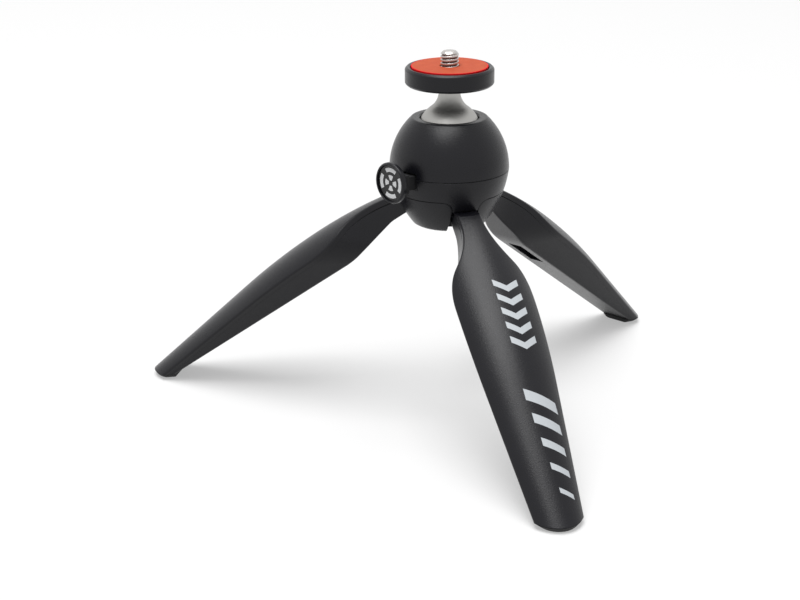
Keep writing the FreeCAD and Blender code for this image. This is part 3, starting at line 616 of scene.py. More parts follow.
def dome_profile():
    """The seam's groove, the outer wall, and the rim with the mouth and the guide inside it."""
    bottom, inside = RING_SEAM / 2, HOUSING_RADIUS - WALL
    outline = eased([
        (inside, GUIDE_END, 0.2),
        (inside, bottom, 0.15),
        (dome_radius(bottom) - SEAM_DEPTH, bottom, 0.03),
        (dome_radius(bottom) + 0.01, bottom + 0.1, 0.06),
        (dome_radius(1.2), 1.2, 0),
    ], closed=True)[:-1]
    outline += [(dome_radius(h), h) for h in evenly(DOME_START, DOME_END, DOME_ROWS)]
    outline += eased([
        (dome_radius(RIM_START), RIM_START, 0),
        (dome_radius(DOME_HEIGHT), DOME_HEIGHT, 1.0),
        (MOUTH_RADIUS + MOUTH_BEVEL, DOME_HEIGHT, 0.15),
        (MOUTH_RADIUS, DOME_HEIGHT - MOUTH_BEVEL, 0.15),
        (LIP_RADIUS, MOUTH_LIP, 0.1),
        (GUIDE_RADIUS, MOUTH_LIP, 0.15),
        (GUIDE_RADIUS, GUIDE_END, 0.2),
        (inside, GUIDE_END, 0),
    ])[:-1]
    return outline


upper = lathe("upper_housing_look", dome_profile(), charcoal, at_ring, steps=180, closed=True)

# %% [markdown]
# The window is cut from both halves by the same rounded box, so its edges line up across the
# split. The cutter is only a tool, so it is deleted afterwards.

# %% Window for the button's stem
BUTTON_AZIMUTH = 205.2
STEM_WIDTH, STEM_HEIGHT, STEM_LEVEL = 8.7, 4.7, -0.75
WINDOW_ROOM, WINDOW_START, WINDOW_END = 0.67, 12.0, 26.0
CUT_CORNER = 0.5


def towards(azimuth):
    """Frame at the ring whose X axis points out at an azimuth."""
    return at_ring @ turn_about("Z", azimuth)


def rounded_bar(name, start, end, width, height, level, place):
    """A bar along X with rounded long edges, to cut with."""
    half, tall = width / 2, height / 2
    section = eased([(-half, -tall, CUT_CORNER), (half, -tall, CUT_CORNER),
                     (half, tall, CUT_CORNER), (-half, tall, CUT_CORNER)], closed=True)
    return skin(name, [[place @ (Vector((reach, y, z + level)) * MM) for y, z in section]
                       for reach in (start, end)], charcoal)


def apply_modifier(piece, kind, **settings):
    """Keeps what a modifier makes of a piece as the piece's own mesh."""
    modifier = piece.modifiers.new(kind, kind)
    for name, value in settings.items():
        setattr(modifier, name, value)
    graph = bpy.context.evaluated_depsgraph_get()
    mesh = bpy.data.meshes.new_from_object(piece.evaluated_get(graph))
    piece.modifiers.remove(modifier)
    piece.data = mesh
    smooth(mesh)


def cut(piece, tool):
    """Takes the tool away from the piece, and deletes the tool."""
    apply_modifier(piece, "BOOLEAN", operation="DIFFERENCE", solver="EXACT", object=tool)
    bpy.data.objects.remove(tool)


def window_tool():
    return rounded_bar("window_tool", WINDOW_START, WINDOW_END, STEM_WIDTH + 2 * WINDOW_ROOM,
                       STEM_HEIGHT + 2 * WINDOW_ROOM, STEM_LEVEL, towards(BUTTON_AZIMUTH))


cut(upper, window_tool())
dressed(upper, "base", "charcoal_plastic", "upper_housing")

# %% [markdown]
# ## Band, tabs and lobes
#
# Below the ring, the shell is one curved surface shared by four parts: a band whose three tabs
# close the leg slots, and three lobes between the slots. A thin line follows each tab's sides
# and turns outward through a round corner. Both shapes come from one rule: at any height, how
# far from the slot's middle does the edge lie? A grid that is stretched between those edges
# then fits the outline exactly.

# %% Slot outline
SLOT_HALF = 4.85
LOBE_CORNER, LOBE_TOP, LOBE_FLOOR = 3.4, -7.75, 0.95
BAND_BOTTOM, TAB_BOTTOM, HOUSING_BOTTOM = -7.5, -11.4, -20.1
HUB_RADIUS = 6.8
LEGS = {"front": -90.0, "right": 30.0, "left": 150.0}
LOBES = {"back": 90.0, "button": 210.0, "front_right": -30.0}


def slot_edge(height, gap=0.0):
    """Distance of the lobe's edge from the slot's middle plane, or of the tab's, inside it."""
    corner = LOBE_CORNER + gap
    drop = height - (LOBE_TOP - LOBE_CORNER)
    if drop <= 0:
        return SLOT_HALF - gap
    drop = min(drop, corner)
    return SLOT_HALF + LOBE_CORNER - math.sqrt(corner ** 2 - drop ** 2)


# %% [markdown]
# A plate between two slots is two such grids, an outer and an inner one, joined round their
# edges. A bevel then softens every edge, which is quicker than rounding a curved outline by hand.

# %% A curved plate
SHELL_EASE, EASE_ANGLE = 0.2, 35.0


def shell_row(points, radius, height, middle, reach, columns):
    """Adds a row of points round the shell, an angle's reach to both sides of the middle, and
    gives their numbers."""
    first = len(points)
    points += [round_point(radius, azimuth, height - RING_DEPTH)
               for azimuth in evenly(middle - reach, middle + reach, columns)]
    return range(first, len(points))


def shell_piece(name, rows, columns, middle):
    """A thin curved plate between two slots. Each row gives the radius and height of an outer
    and an inner point, and the distance of its ends from the slots' middle planes."""
    points, faces, grids = [], [], []
    for side in (0, 1):
        grid = []
        for row in rows:
            radius, height = row[side]
            reach = math.radians(60) - math.asin(row[2] / radius)
            grid.append(shell_row(points, radius, height, middle, reach, columns))
        for near, far in zip(grid, grid[1:]):
            faces += strip(near, far, closed=False)
        grids.append(grid)
    outer, inner = grids
    for end in (0, -1):
        faces += strip(outer[end], inner[end], closed=False)
    for end in (0, -1):
        faces += strip([row[end] for row in outer], [row[end] for row in inner], closed=False)
    piece = add_piece(name, points, faces, charcoal)
    apply_modifier(piece, "BEVEL", width=SHELL_EASE * MM, segments=3, limit_method="ANGLE",
                   angle_limit=math.radians(EASE_ANGLE))
    return piece


# %% [markdown]
# Each lobe is that outline closed at its top, wrapped on the shell, and near the bottom its wall
# bends into a floor. The three lobes are the same shape, a third of a turn apart.

# %% Lobes
LOBE_COLUMNS, CORNER_ROWS, WALL_ROWS = 36, 14, 16
WALL_FOOT, INNER_FOOT, INNER_FLOOR = 0.6, 0.3, -19.0
OUTER_BEND, INNER_BEND = (0.18, 0.2), (0.1, 0.05)
OUTER_TURN, INNER_TURN = 0.6, 0.4


def lobe(name, azimuth):
    """Wall and floor of one lobe, as one grid that turns the corner at the bottom."""
    straight, floor = LOBE_TOP - LOBE_CORNER, HOUSING_BOTTOM + LOBE_FLOOR
    rows = []
    for height in (evenly(LOBE_TOP, straight, CORNER_ROWS)
                   + evenly(straight, HOUSING_BOTTOM + WALL_FOOT, WALL_ROWS)[1:]):
        inner_height = max(height, floor + INNER_FOOT)
        rows.append(((belly_radius(height), height),
                     (belly_radius(inner_height, WALL), inner_height), slot_edge(height)))
    outer_end, inner_end = belly_radius(HOUSING_BOTTOM), belly_radius(INNER_FLOOR, WALL)
    rows.append(((outer_end - OUTER_BEND[0], HOUSING_BOTTOM + OUTER_BEND[1]),
                 (inner_end - INNER_BEND[0], floor + INNER_BEND[1]), SLOT_HALF))
    outer, inner, hub = outer_end - OUTER_TURN, inner_end - INNER_TURN, HUB_RADIUS + SEAM
    for share in (0.0, 0.05, 0.3, 0.55, 0.8, 1.0):
        rows.append(((outer + (hub - outer) * share, HOUSING_BOTTOM),
                     (inner + (hub - inner) * share, floor), SLOT_HALF))
    piece = shell_piece(f"lobe_{name}_look", rows, LOBE_COLUMNS, math.radians(azimuth))
    return dressed(piece, "base", "charcoal_plastic", f"lobe_cover_{name}")


for lobe_name, lobe_azimuth in LOBES.items():
    lobe(lobe_name, lobe_azimuth)

# %% [markdown]
# The band and its three tabs are one moulding, so they are one mesh. Going round the ring, the
# columns bunch together where a tab hangs down, and each tab continues those columns.

# %% Band with tabs
TAB_COLUMNS, GAP_COLUMNS, BAND_ROWS = 16, 28, 10
EDGE_DROP, BAND_START = 0.14, -1.1
TAB_CORNER, TAB_CORNER_ROWS = 3.65, 12


def band_azimuths():
    """Azimuth of every column, and the first column of each tab."""
    half = math.asin(slot_edge(BAND_BOTTOM, SEAM) / belly_radius(BAND_BOTTOM))
    azimuths, starts = [], []
    for middle in map(math.radians, LEGS.values()):
        starts.append(len(azimuths))
        azimuths += evenly(middle - half, middle + half, TAB_COLUMNS)[:-1]
        azimuths += evenly(middle + half, middle + math.radians(120) - half, GAP_COLUMNS)[:-1]
    return azimuths, starts


def band_levels():
    """Radius and height of every row of the band: the seam's groove, its lip and the wall."""
    edge = -RING_SEAM / 2 - EDGE_DROP
    wall = [edge - 0.06, edge - 0.25] + evenly(BAND_START, BAND_BOTTOM, BAND_ROWS)
    return [(belly_radius(edge) - SEAM_DEPTH, -RING_SEAM / 2),
            (belly_radius(edge) - 0.05, edge + 0.03)] + [(belly_radius(h), h) for h in wall]


def hang_tab(points, faces, above, middle):
    """Adds a tab, row by row, below the last row of both sides."""
    corner = [BAND_BOTTOM - TAB_CORNER * (1 - math.cos(math.radians(turn)))
              for turn in evenly(0, 90, TAB_CORNER_ROWS)[1:]]
    for height in corner + [TAB_BOTTOM]:
        below = []
        for radius in (belly_radius(height), belly_radius(height, WALL)):
            half = math.asin(slot_edge(height, SEAM) / radius)
            below.append(shell_row(points, radius, height, middle, half, TAB_COLUMNS))
        for up, down in zip(above, below):
            faces += strip(up, down, closed=False)
        for end in (0, -1):
            faces.append((above[0][end], above[1][end], below[1][end], below[0][end]))
        above = below
    faces += strip(*above, closed=False)


def band_look():
    azimuths, starts = band_azimuths()
    width, levels = len(azimuths), band_levels()
    points = [round_point(radius, azimuth, height - RING_DEPTH)
              for grid in (levels, [(belly_radius(h, WALL), h) for _, h in levels])
              for radius, height in grid for azimuth in azimuths]
    rows = [range(first, first + width) for first in range(0, len(points), width)]
    outer, inner = rows[:len(levels)], rows[len(levels):]
    faces = [face for grid in (outer, inner) for near, far in zip(grid, grid[1:])
             for face in strip(near, far)]
    faces += strip(outer[0], inner[0])
    tab_spots = {start + i for start in starts for i in range(TAB_COLUMNS)}
    faces += [face for i, face in enumerate(strip(outer[-1], inner[-1])) if i not in tab_spots]
    for middle, start in zip(LEGS.values(), starts):
        above = [[grid[-1][(start + i) % width] for i in range(TAB_COLUMNS + 1)]
                 for grid in (outer, inner)]
        hang_tab(points, faces, above, math.radians(middle))
    return add_piece("lower_housing_look", points, faces, charcoal)


band = band_look()
cut(band, window_tool())
dressed(band, "base", "charcoal_plastic", "lower_housing")

# %% [markdown]
# ## The legs
#
# A leg is the hard part of this tripod. Folded, the three legs close into one round grip, so
# each leg is a third of that grip: a flat inner face, two sides that flare outward, and an outer
# face that is part of a round surface about the tripod's own axis. Cutting solids against each
# other makes such a shape too, but a stack of cross-sections is smoother and lets every long
# edge have its own soft radius. All sections are worked out in the folded position, where the
# rules are simple, and then swung out about the hinge pin.

# %% Rules of the folded leg
OPEN_ANGLE = math.radians(54.7)
PIN_REACH, PIN_DROP, KNUCKLE = 11.5, 11.35, 3.45
FOLD_GAP, TONGUE = 4.5, 9.0
RAMP_START, RAMP_END = 12.4, 32.4
RAMP_START_TURN, RAMP_END_TURN = 1.2, 3.5
NECK_HALF, INNER_HALF = 4.2, 6.9
FLARE_REACH, FLARE_ANGLE = 16.0, math.radians(38.7)
OUTER_HALF = INNER_HALF + FLARE_REACH * math.tan(FLARE_ANGLE)
BLEND_START, INNER_BLEND_END, OUTER_BLEND_END = 10.9, 33.9, 52.0
LEG_END = 134.0
GRIP_RADIUS, GRIP_PEAK = 20.0, 38.9
UPPER_CURVE, LOWER_CURVE = 187.0, 266.0
TAPER = math.radians(8.0)
STOP_DROP, RIGID_DROP = 11.6, 86.1
COVER_TOP, COVER_THICK = 4.3, 2.0


def leg_frame(azimuth):
    """The folded leg's frame, swung open about its pin. X points out, Z up along the leg."""
    return (towards(azimuth) @ shift(PIN_REACH, 0, -PIN_DROP)
            @ Matrix.Rotation(-OPEN_ANGLE, 4, "Y") @ shift(-PIN_REACH, 0, 0))


def grip_radius(depth, inset=0.0):
    """Radius of the closed grip at a depth below the hinge pins, or of a layer inside it."""
    lower = LOWER_CURVE - inset
    if depth < GRIP_PEAK:
        rise = math.sqrt((UPPER_CURVE - inset) ** 2 - (GRIP_PEAK - depth) ** 2)
        return GRIP_RADIUS - UPPER_CURVE + rise
    if depth < GRIP_PEAK + lower * math.sin(TAPER):
        rise = math.sqrt(lower ** 2 - (depth - GRIP_PEAK) ** 2)
        return GRIP_RADIUS - LOWER_CURVE + rise
    below = depth - GRIP_PEAK - lower * math.sin(TAPER)
    return GRIP_RADIUS - LOWER_CURVE + lower * math.cos(TAPER) - below * math.tan(TAPER)


# %% [markdown]
# Each side of a leg is a ruled surface: straight lines join an outline at the inner face to a
# wider outline further out. Both outlines run from the narrow neck through two equal arcs to
# the full width, but the outer one takes longer. To know the leg's width at one depth, the
# script walks along the lines until it finds the one that passes there.

# %% Width of the leg
BISECTIONS = 16


def last_true(test, low, high):
    """The value between two others up to which a test holds."""
    for _ in range(BISECTIONS):
        middle = (low + high) / 2
        if test(middle):
            low = middle
        else:
            high = middle
    return low


def outline_point(stretch, share, wide, end):
    """Depth and half-width on one side outline: two equal arcs and then a straight line."""
    length, spread = end - BLEND_START, wide - NECK_HALF
    bend = (length ** 2 + spread ** 2) / (4 * spread)
    sweep = math.asin(length / 2 / bend)
    if stretch == 0:
        turn = sweep * share
        return BLEND_START + bend * math.sin(turn), NECK_HALF + bend * (1 - math.cos(turn))
    if stretch == 1:
        turn = sweep * (1 - share)
        return end - bend * math.sin(turn), wide - bend * (1 - math.cos(turn))
    return end + (LEG_END - end) * share, wide


def half_width(depth, x):
    """Half-width of the leg at a depth and a distance from the grip's axis."""
    if depth <= BLEND_START:
        return NECK_HALF
    mix = (x - FOLD_GAP) / FLARE_REACH

    def ruled(stretch, share):
        near = outline_point(stretch, share, INNER_HALF, INNER_BLEND_END)
        far = outline_point(stretch, share, OUTER_HALF, OUTER_BLEND_END)
        return [a + (b - a) * mix for a, b in zip(near, far)]

    stretch = next(i for i in range(3) if ruled(i, 1.0)[0] >= depth or i == 2)
    share = last_true(lambda part: ruled(stretch, part)[0] < depth, 0.0, 1.0)
    return ruled(stretch, share)[1]


def side_meets(depth, radius):
    """Distance out at which the leg's side meets a circle about the grip's axis."""
    return last_true(lambda x: x ** 2 + half_width(depth, x) ** 2 < radius ** 2, 0.0, radius)


print("width at the notch:", round(2 * half_width(45.0, FOLD_GAP), 1), "mm inside,",
      round(2 * half_width(45.0, side_meets(45.0, GRIP_RADIUS)), 1), "mm outside")

# %% [markdown]
# A cross-section has four edges: inner, side, outer, side. Each edge gets a fixed number of
# points, and so does the curve at each corner, so every ring of the stack has the same count
# and the quads run cleanly down the leg.

# %% One cross-section
EDGE_POINTS, ARC_POINTS, CURVE_STEPS = 14, 24, 4


def along_edge(edge, share):
    """A point part of the way along a list of points."""
    spot = clamped(share) * (len(edge) - 1)
    low = min(int(spot), len(edge) - 2)
    return Vector(edge[low]).lerp(Vector(edge[low + 1]), spot - low)


def rounded_ring(edges, radii):
    """Joins four edges into a ring, with a curve of given size at the start of each."""
    lines = []
    for index, edge in enumerate(edges):
        length = max((Vector(edge[-1]) - Vector(edge[0])).length, 1e-6)
        start, end = (min(size / length, 0.45) for size in (radii[index], radii[(index + 1) % 4]))
        lines.append([along_edge(edge, share) for share in evenly(start, 1 - end, EDGE_POINTS)])
    ring = []
    for index, line in enumerate(lines):
        corner, following = Vector(edges[index][-1]), lines[(index + 1) % 4][0]
        ring += line
        ring += [line[-1] * (1 - share) ** 2 + corner * 2 * share * (1 - share)
                 + following * share ** 2 for share in evenly(0, 1, CURVE_STEPS)[1:-1]]
    return ring


def arc_edge(radius, half, limit=math.inf):
    """The outer edge, from one side to the other, on a circle or at a limit inside it."""
    return [(min(math.sqrt(max(radius ** 2 - side ** 2, 0.0)), limit), side)
            for side in evenly(half, -half, ARC_POINTS)]


# %% [markdown]
# The inner half of the leg carries the knuckle, a slim tongue and a ramp down to the flat
# inner face. The outer half is a shell on top of it. The line between the two shows at the
# neck and is all but gone further down, so the gap between them closes with depth.

# %% Core and cover sections
OPEN_GAP, CLOSED_GAP = 0.2, 0.015
CLOSING_START, CLOSING_LENGTH = 12.0, 22.0
INNER_EASE, OUTER_EASE = 0.75, 0.6
UNLIMITED = 40.0
KNUCKLE_END = 2.95


def seam_gap(depth):
    """Gap between core and cover, which closes down the leg."""
    return OPEN_GAP - (OPEN_GAP - CLOSED_GAP) * clamped((depth - CLOSING_START) / CLOSING_LENGTH)


def seam_ease(depth):
    """Size of the curve on both sides of that gap."""
    return min(0.15, seam_gap(depth) + 0.03)


def soft_step(value, room):
    """The part of a value above zero, with a rounded turn as wide as the room on each side."""
    if abs(value) >= room:
        return max(value, 0.0)
    return (value + room) ** 2 / (4 * room)


def inner_face(depth):
    """Distance of the inner face from the grip's axis: tongue, ramp and flat with soft turns."""
    slope = (TONGUE - FOLD_GAP) / (RAMP_END - RAMP_START)
    rise = slope * soft_step(RAMP_END - depth, RAMP_END_TURN)
    return FOLD_GAP + rise - slope * soft_step(RAMP_START - depth, RAMP_START_TURN)


def core_ring(depth):
    radius, inner = UNLIMITED, inner_face(depth)
    if depth > COVER_TOP:
        radius = grip_radius(depth, COVER_THICK + seam_gap(depth))
    if depth > KNUCKLE_END:
        drop = depth * math.cos(OPEN_ANGLE) - STOP_DROP + PIN_DROP
        limit = PIN_REACH + drop / math.sin(OPEN_ANGLE)
    else:
        bulge = math.sqrt(KNUCKLE ** 2 - depth ** 2)
        limit = PIN_REACH + bulge
        inner = PIN_REACH - bulge if depth < 0 else min(inner, PIN_REACH - bulge)
    outer = min(side_meets(depth, radius), limit)
    right = [(x, half_width(depth, x)) for x in evenly(inner, outer, 8)]
    left = [(x, -side) for x, side in reversed(right)]
    edges = [[left[-1], right[0]], right, arc_edge(radius, right[-1][1], limit), left]
    return rounded_ring(edges, (INNER_EASE, INNER_EASE, seam_ease(depth), seam_ease(depth)))


def cover_ring(depth):
    inner, outer = (arc_edge(radius, half_width(depth, side_meets(depth, radius)))
                    for radius in (grip_radius(depth, COVER_THICK), grip_radius(depth)))
    inner.reverse()
    edges = [inner, [inner[-1], outer[0]], outer, [outer[-1], inner[0]]]
    return rounded_ring(edges, (seam_ease(depth), seam_ease(depth), OUTER_EASE, OUTER_EASE))


def spaced(*stops):
    """Depths between stops, each pair with the pitch between them."""
    depths = []
    for start, pitch, end in zip(stops[0::2], stops[1::2], stops[2::2]):
        depths += evenly(start, end, max(1, round((end - start) / pitch)))[:-1]
    return depths + [stops[-1]]


# %% [markdown]
# The stacks are made a little too long. A plane then trims both parts level at the foot, and
# the cover level at the shoulder, exactly as a saw would. The new edge gets its own small
# bevel.

# %% Trimming with a plane


def trim(piece, drop, keep_below, ease):
    """Cuts a piece at a level under the ring, keeps one side and rounds the new edge."""
    shape = bmesh.new()
    shape.from_mesh(piece.data)
    made = bmesh.ops.bisect_plane(
        shape, geom=shape.verts[:] + shape.edges[:] + shape.faces[:], dist=SLIVER,
        plane_co=(0, 0, -(RING_DEPTH + drop) * MM), plane_no=(0, 0, 1 if keep_below else -1),
        clear_outer=True)
    rim = [item for item in made["geom_cut"] if isinstance(item, bmesh.types.BMEdge)]
    bmesh.ops.edgeloop_fill(shape, edges=rim)
    bmesh.ops.bevel(shape, geom=rim, offset=ease * MM, offset_type="OFFSET", segments=3,
                    profile=0.5, affect="EDGES", clamp_overlap=True)
    store(shape, piece.data)
    smooth(piece.data)


# %% [markdown]
# The sections of a leg are drawn folded and then swung out together. The core has a notch in
# its underside, and both core and cover end level above the sole.

# %% Leg pieces
core_depths = spaced(-3.44, 0.04, -3.36, 0.12, -3.0, 0.3, -1.8, 0.5, KNUCKLE_END, 0.3, 8.3, 0.5,
                     55.0, 1.2, 118.0, 0.6, 128.0)
cover_depths = spaced(2.6, 0.5, 14.0, 0.8, 60.0, 1.5, 118.0, 0.5, 131.0)
core_rings = [(depth, core_ring(depth)) for depth in core_depths]
cover_rings = [(depth, cover_ring(depth)) for depth in cover_depths]
NOTCH_START, NOTCH_LENGTH, NOTCH_WIDTH, NOTCH_DEPTH = 37.0, 17.0, 6.2, 3.6
print("sections:", len(core_rings), "of the core,", len(cover_rings), "of the cover")


def stack(name, azimuth, rings):
    """The sections of a folded leg, swung out to the open position."""
    place = leg_frame(azimuth)
    return skin(name, [[place @ (Vector((x, side, -depth)) * MM) for x, side in ring]
                       for depth, ring in rings], charcoal)


def leg_core(name, azimuth):
    piece = stack(f"leg_core_{name}_look", azimuth, core_rings)
    trim(piece, RIGID_DROP, keep_below=False, ease=0.1)
    cut(piece, rounded_bar("notch_tool", NOTCH_START, NOTCH_START + NOTCH_LENGTH, NOTCH_WIDTH,
                           NOTCH_DEPTH * 2, FOLD_GAP, leg_frame(azimuth) @ turn_about("Y", 90)))
    return dressed(piece, f"leg_{name}", "charcoal_plastic", f"leg_core_{name}")


def leg_cover(name, azimuth):
    piece = stack(f"leg_cover_{name}_look", azimuth, cover_rings)
    trim(piece, RIGID_DROP, keep_below=False, ease=0.75)
    trim(piece, STOP_DROP, keep_below=True, ease=0.2)
    return dressed(piece, f"leg_{name}", "charcoal_plastic", f"leg_cover_{name}")


for leg_name, leg_azimuth in LEGS.items():
    leg_core(leg_name, leg_azimuth)
    leg_cover(leg_name, leg_azimuth)

# %% [markdown]
# ## Rubber soles
#
# Under the level end of each leg lies a rubber sole that narrows towards the floor. It is a
# stack of the same outline in several sizes: heel, two widening sides and a round toe. The
# heel stands upright where the underside of the leg ends, and a thin recess above the sole
# leaves a dark line below the leg.

# %% Soles
SOLE_TOP, FLOOR_DROP = 86.2, 88.1
HEEL_INSET, CORNER_BACK, HEEL_SLOPE = 0.05, 3.5, 0.1
HEEL_DEPTH = (RIGID_DROP - PIN_DROP + (FOLD_GAP - PIN_REACH) * math.sin(OPEN_ANGLE))
HEEL_DEPTH /= math.cos(OPEN_ANGLE)
HEEL = PIN_REACH + (FOLD_GAP - PIN_REACH) * math.cos(OPEN_ANGLE) + HEEL_DEPTH * math.sin(OPEN_ANGLE)
print("heel:", round(HEEL, 1), "mm from the axis")

# %% [markdown]
# Both ends of the stack give three sizes: half the width at the heel, half the width at the
# toe's corners, and the length. `TUCKS` says how far the sole is set in at shares of its height.

# %% Sizes and rings of a sole
TOP_SIZES, FLOOR_SIZES = (6.7, 8.32, 9.4), (4.4, 5.7, 8.5)
TUCKS = ((0.0, 0.25), (0.08, 0.25), (0.14, 0.0), (0.4, 0.0), (0.7, 0.0), (0.88, 0.12), (1.0, 0.45))


def sole_outline(half, corner_half, length, tuck, slope):
    """Outline of the sole from its heel, in millimetres from the tripod's axis."""
    heel, toe = HEEL + HEEL_INSET + slope + tuck, HEEL + HEEL_INSET + length
    bulge = toe - HEEL - CORNER_BACK - slope / 2
    curve = (corner_half ** 2 + bulge ** 2) / (2 * bulge)
    sweep = math.degrees(math.asin(corner_half / curve))
    front = arc((toe - curve, 0), curve, -sweep, sweep, 22)
    return eased([(heel, half, 0.5), (heel, -half, 0.5), front[0] + (0.3,)]
                 + [point + (0,) for point in front[1:-1]] + [front[-1] + (0.3,)], closed=True)


def leg_boot(name, azimuth):
    rings = []
    for share, tuck in TUCKS:
        sizes = [a + (b - a) * share - tuck for a, b in zip(TOP_SIZES, FLOOR_SIZES)]
        height = -SOLE_TOP + (SOLE_TOP - FLOOR_DROP) * share
        rings.append([towards(azimuth) @ (Vector((x, y, height)) * MM)
                      for x, y in sole_outline(*sizes, tuck, HEEL_SLOPE * share)])
    piece = skin(f"leg_boot_{name}_look", rings, sole_grey, sharp=50.0)
    return dressed(piece, f"leg_{name}", "boot_rubber", f"leg_boot_{name}")


for leg_name, leg_azimuth in LEGS.items():
    leg_boot(leg_name, leg_azimuth)

# %% [markdown]
# ## The push button
#
# The button is a dished cap on a flat stem. A lathe turns its raised rim and the polished face
# inside it. The stem and the collar behind the cap keep the construction model's own shape.

# %% Button
CAP_RADIUS, CAP_REACH, CAP_THICK = 7.25, 28.7, 2.1
CAP_LIP, CAP_DISH, FACE_THICK = 0.9, 0.7, 0.6
CAP_STEPS, FACE_GAP, BUTTON_LEVEL = 96, 0.05, -0.4
button_axis = towards(BUTTON_AZIMUTH) @ shift(0, 0, BUTTON_LEVEL) @ turn_about("Y", 90)
cap_back, face_level = CAP_REACH - CAP_THICK, CAP_REACH - CAP_DISH
face_radius = CAP_RADIUS - CAP_LIP - FACE_GAP

dressed(lathe("button_cap_look", eased([
    (0, cap_back, 0),
    (CAP_RADIUS - 0.3, cap_back, 0.3),
    (CAP_RADIUS, cap_back + 0.45, 0.4),
    (CAP_RADIUS, CAP_REACH - 0.5, 0.5),
    (CAP_RADIUS - 0.45, CAP_REACH, 0.3),
    (CAP_RADIUS - CAP_LIP, CAP_REACH, 0.22),
    (CAP_RADIUS - CAP_LIP, face_level - FACE_THICK, 0),
    (0, face_level - FACE_THICK, 0),
]), charcoal, button_axis, CAP_STEPS), "button", "charcoal_plastic", "button_cap")

dressed(lathe("button_face_look", eased([
    (0, face_level - FACE_THICK, 0),
    (face_radius, face_level - FACE_THICK, 0.05),
    (face_radius, face_level, 0.12),
    (CAP_RADIUS * 0.6, face_level - 0.08, 1.5),
    (0, face_level - 0.1, 0),
]), gloss_black, button_axis, CAP_STEPS), "button", "gloss_plastic", "button_face")

# %% [markdown]
# ## Printed marks
#
# The front leg carries a pale print, and so does the button's face: five chevrons and, below
# them, five slanted bars that shrink towards the foot, and on the button a broken ring round
# four petals. Each mark is a strip repeated along a line or round a centre, which is work for
# Geometry Nodes. The tree places the copies in the air, shoots a ray from every point of them
# down onto the part, and moves the point to where the ray lands. So the print follows any
# curve, like a decal. A `lift` stored on each point keeps the print's top just above the
# plastic and its underside just inside it.

# %% A mark as a closed strip
INK_LIFT = 0.03


def mark(name, strips, place):
    """Strips of (left, right) pairs in millimetres, as thin closed plates facing along X."""
    points, faces, lifts = [], [], []
    for pairs in strips:
        rows = []
        for left, right in pairs:
            rows.append(range(len(points), len(points) + 4))
            for (side, down), lift in ((left, INK_LIFT), (right, INK_LIFT),
                                       (right, -INK_LIFT), (left, -INK_LIFT)):
                points.append(place @ Vector((0, side * MM, -down * MM)))
                lifts.append(lift * MM)
        for near, far in zip(rows, rows[1:]):
            faces += strip(near, far)
        faces += [tuple(rows[0]), tuple(rows[-1])]
    mesh = bpy.data.meshes.new(name)
    mesh.from_pydata(points, [], faces)
    mesh.attributes.new("lift", "FLOAT", "POINT").data.foreach_set("value", lifts)
    return put(name, mesh)


def line_strip(half_length, half_height, middle):
    """A strip of even height whose middle follows a line across the part."""
    return [((side, middle(side) - half_height), (side, middle(side) + half_height))
            for side in evenly(-half_length, half_length, 24)]


def arc_strip(radius, width, sweep):
    """A strip of even width along an arc."""
    return [tuple((r * math.sin(turn), r * math.cos(turn)) for r in (radius, radius + width))
            for turn in map(math.radians, evenly(-sweep / 2, sweep / 2, 16))]


# %% [markdown]
# A Geometry Nodes tree is like a recipe: its named inputs are what goes in, and it always ends
# by making every copy real and giving it a material. `make` runs it on a carrier object whose
# own mesh is empty, and keeps only what the tree made.

# %% A recipe of Geometry Nodes


class Recipe(Tree):
    """A Geometry Nodes tree that makes a mesh from named inputs."""

    def __init__(self, name, **inputs):
        super().__init__(bpy.data.node_groups.new(name, "GeometryNodeTree"))
        add_socket = self.tree.interface.new_socket
        add_socket("Geometry", in_out="OUTPUT", socket_type="NodeSocketGeometry")
        for title, kind in inputs.items():
            add_socket(title, in_out="INPUT", socket_type="NodeSocket" + kind)
        source = self.tree.nodes.new("NodeGroupInput")
        self.given = {title: Signal(self, source.outputs[title]) for title in inputs}

    def end(self, geometry, material):
        real = self.node("GeometryNodeRealizeInstances", {}, {"Geometry": geometry})
        coated = self.node("GeometryNodeSetMaterial", {}, {"Geometry": real, "Material": material})
        self.feed(self.tree.nodes.new("NodeGroupOutput").inputs[0], coated)

    def make(self, name, values):
        """Bakes the tree's result for these inputs into a plain mesh."""
        carrier = put(name, bpy.data.meshes.new(name))
        modifier = carrier.modifiers.new(name, "NODES")
        modifier.node_group = self.tree
        for item in self.tree.interface.items_tree:
            if item.in_out == "INPUT":
                modifier[item.identifier] = values[item.name]
        graph = bpy.context.evaluated_depsgraph_get()
        mesh = bpy.data.meshes.new_from_object(carrier.evaluated_get(graph))
        bpy.data.objects.remove(carrier)
        return mesh


# %% [markdown]
# This recipe sets copies of one mark in a row, gives each its size and turn, drops them onto
# the surface along an axis and lets the lift push them in or out along the surface's normal.

# %% The decal recipe
RAY_LENGTH = 0.05


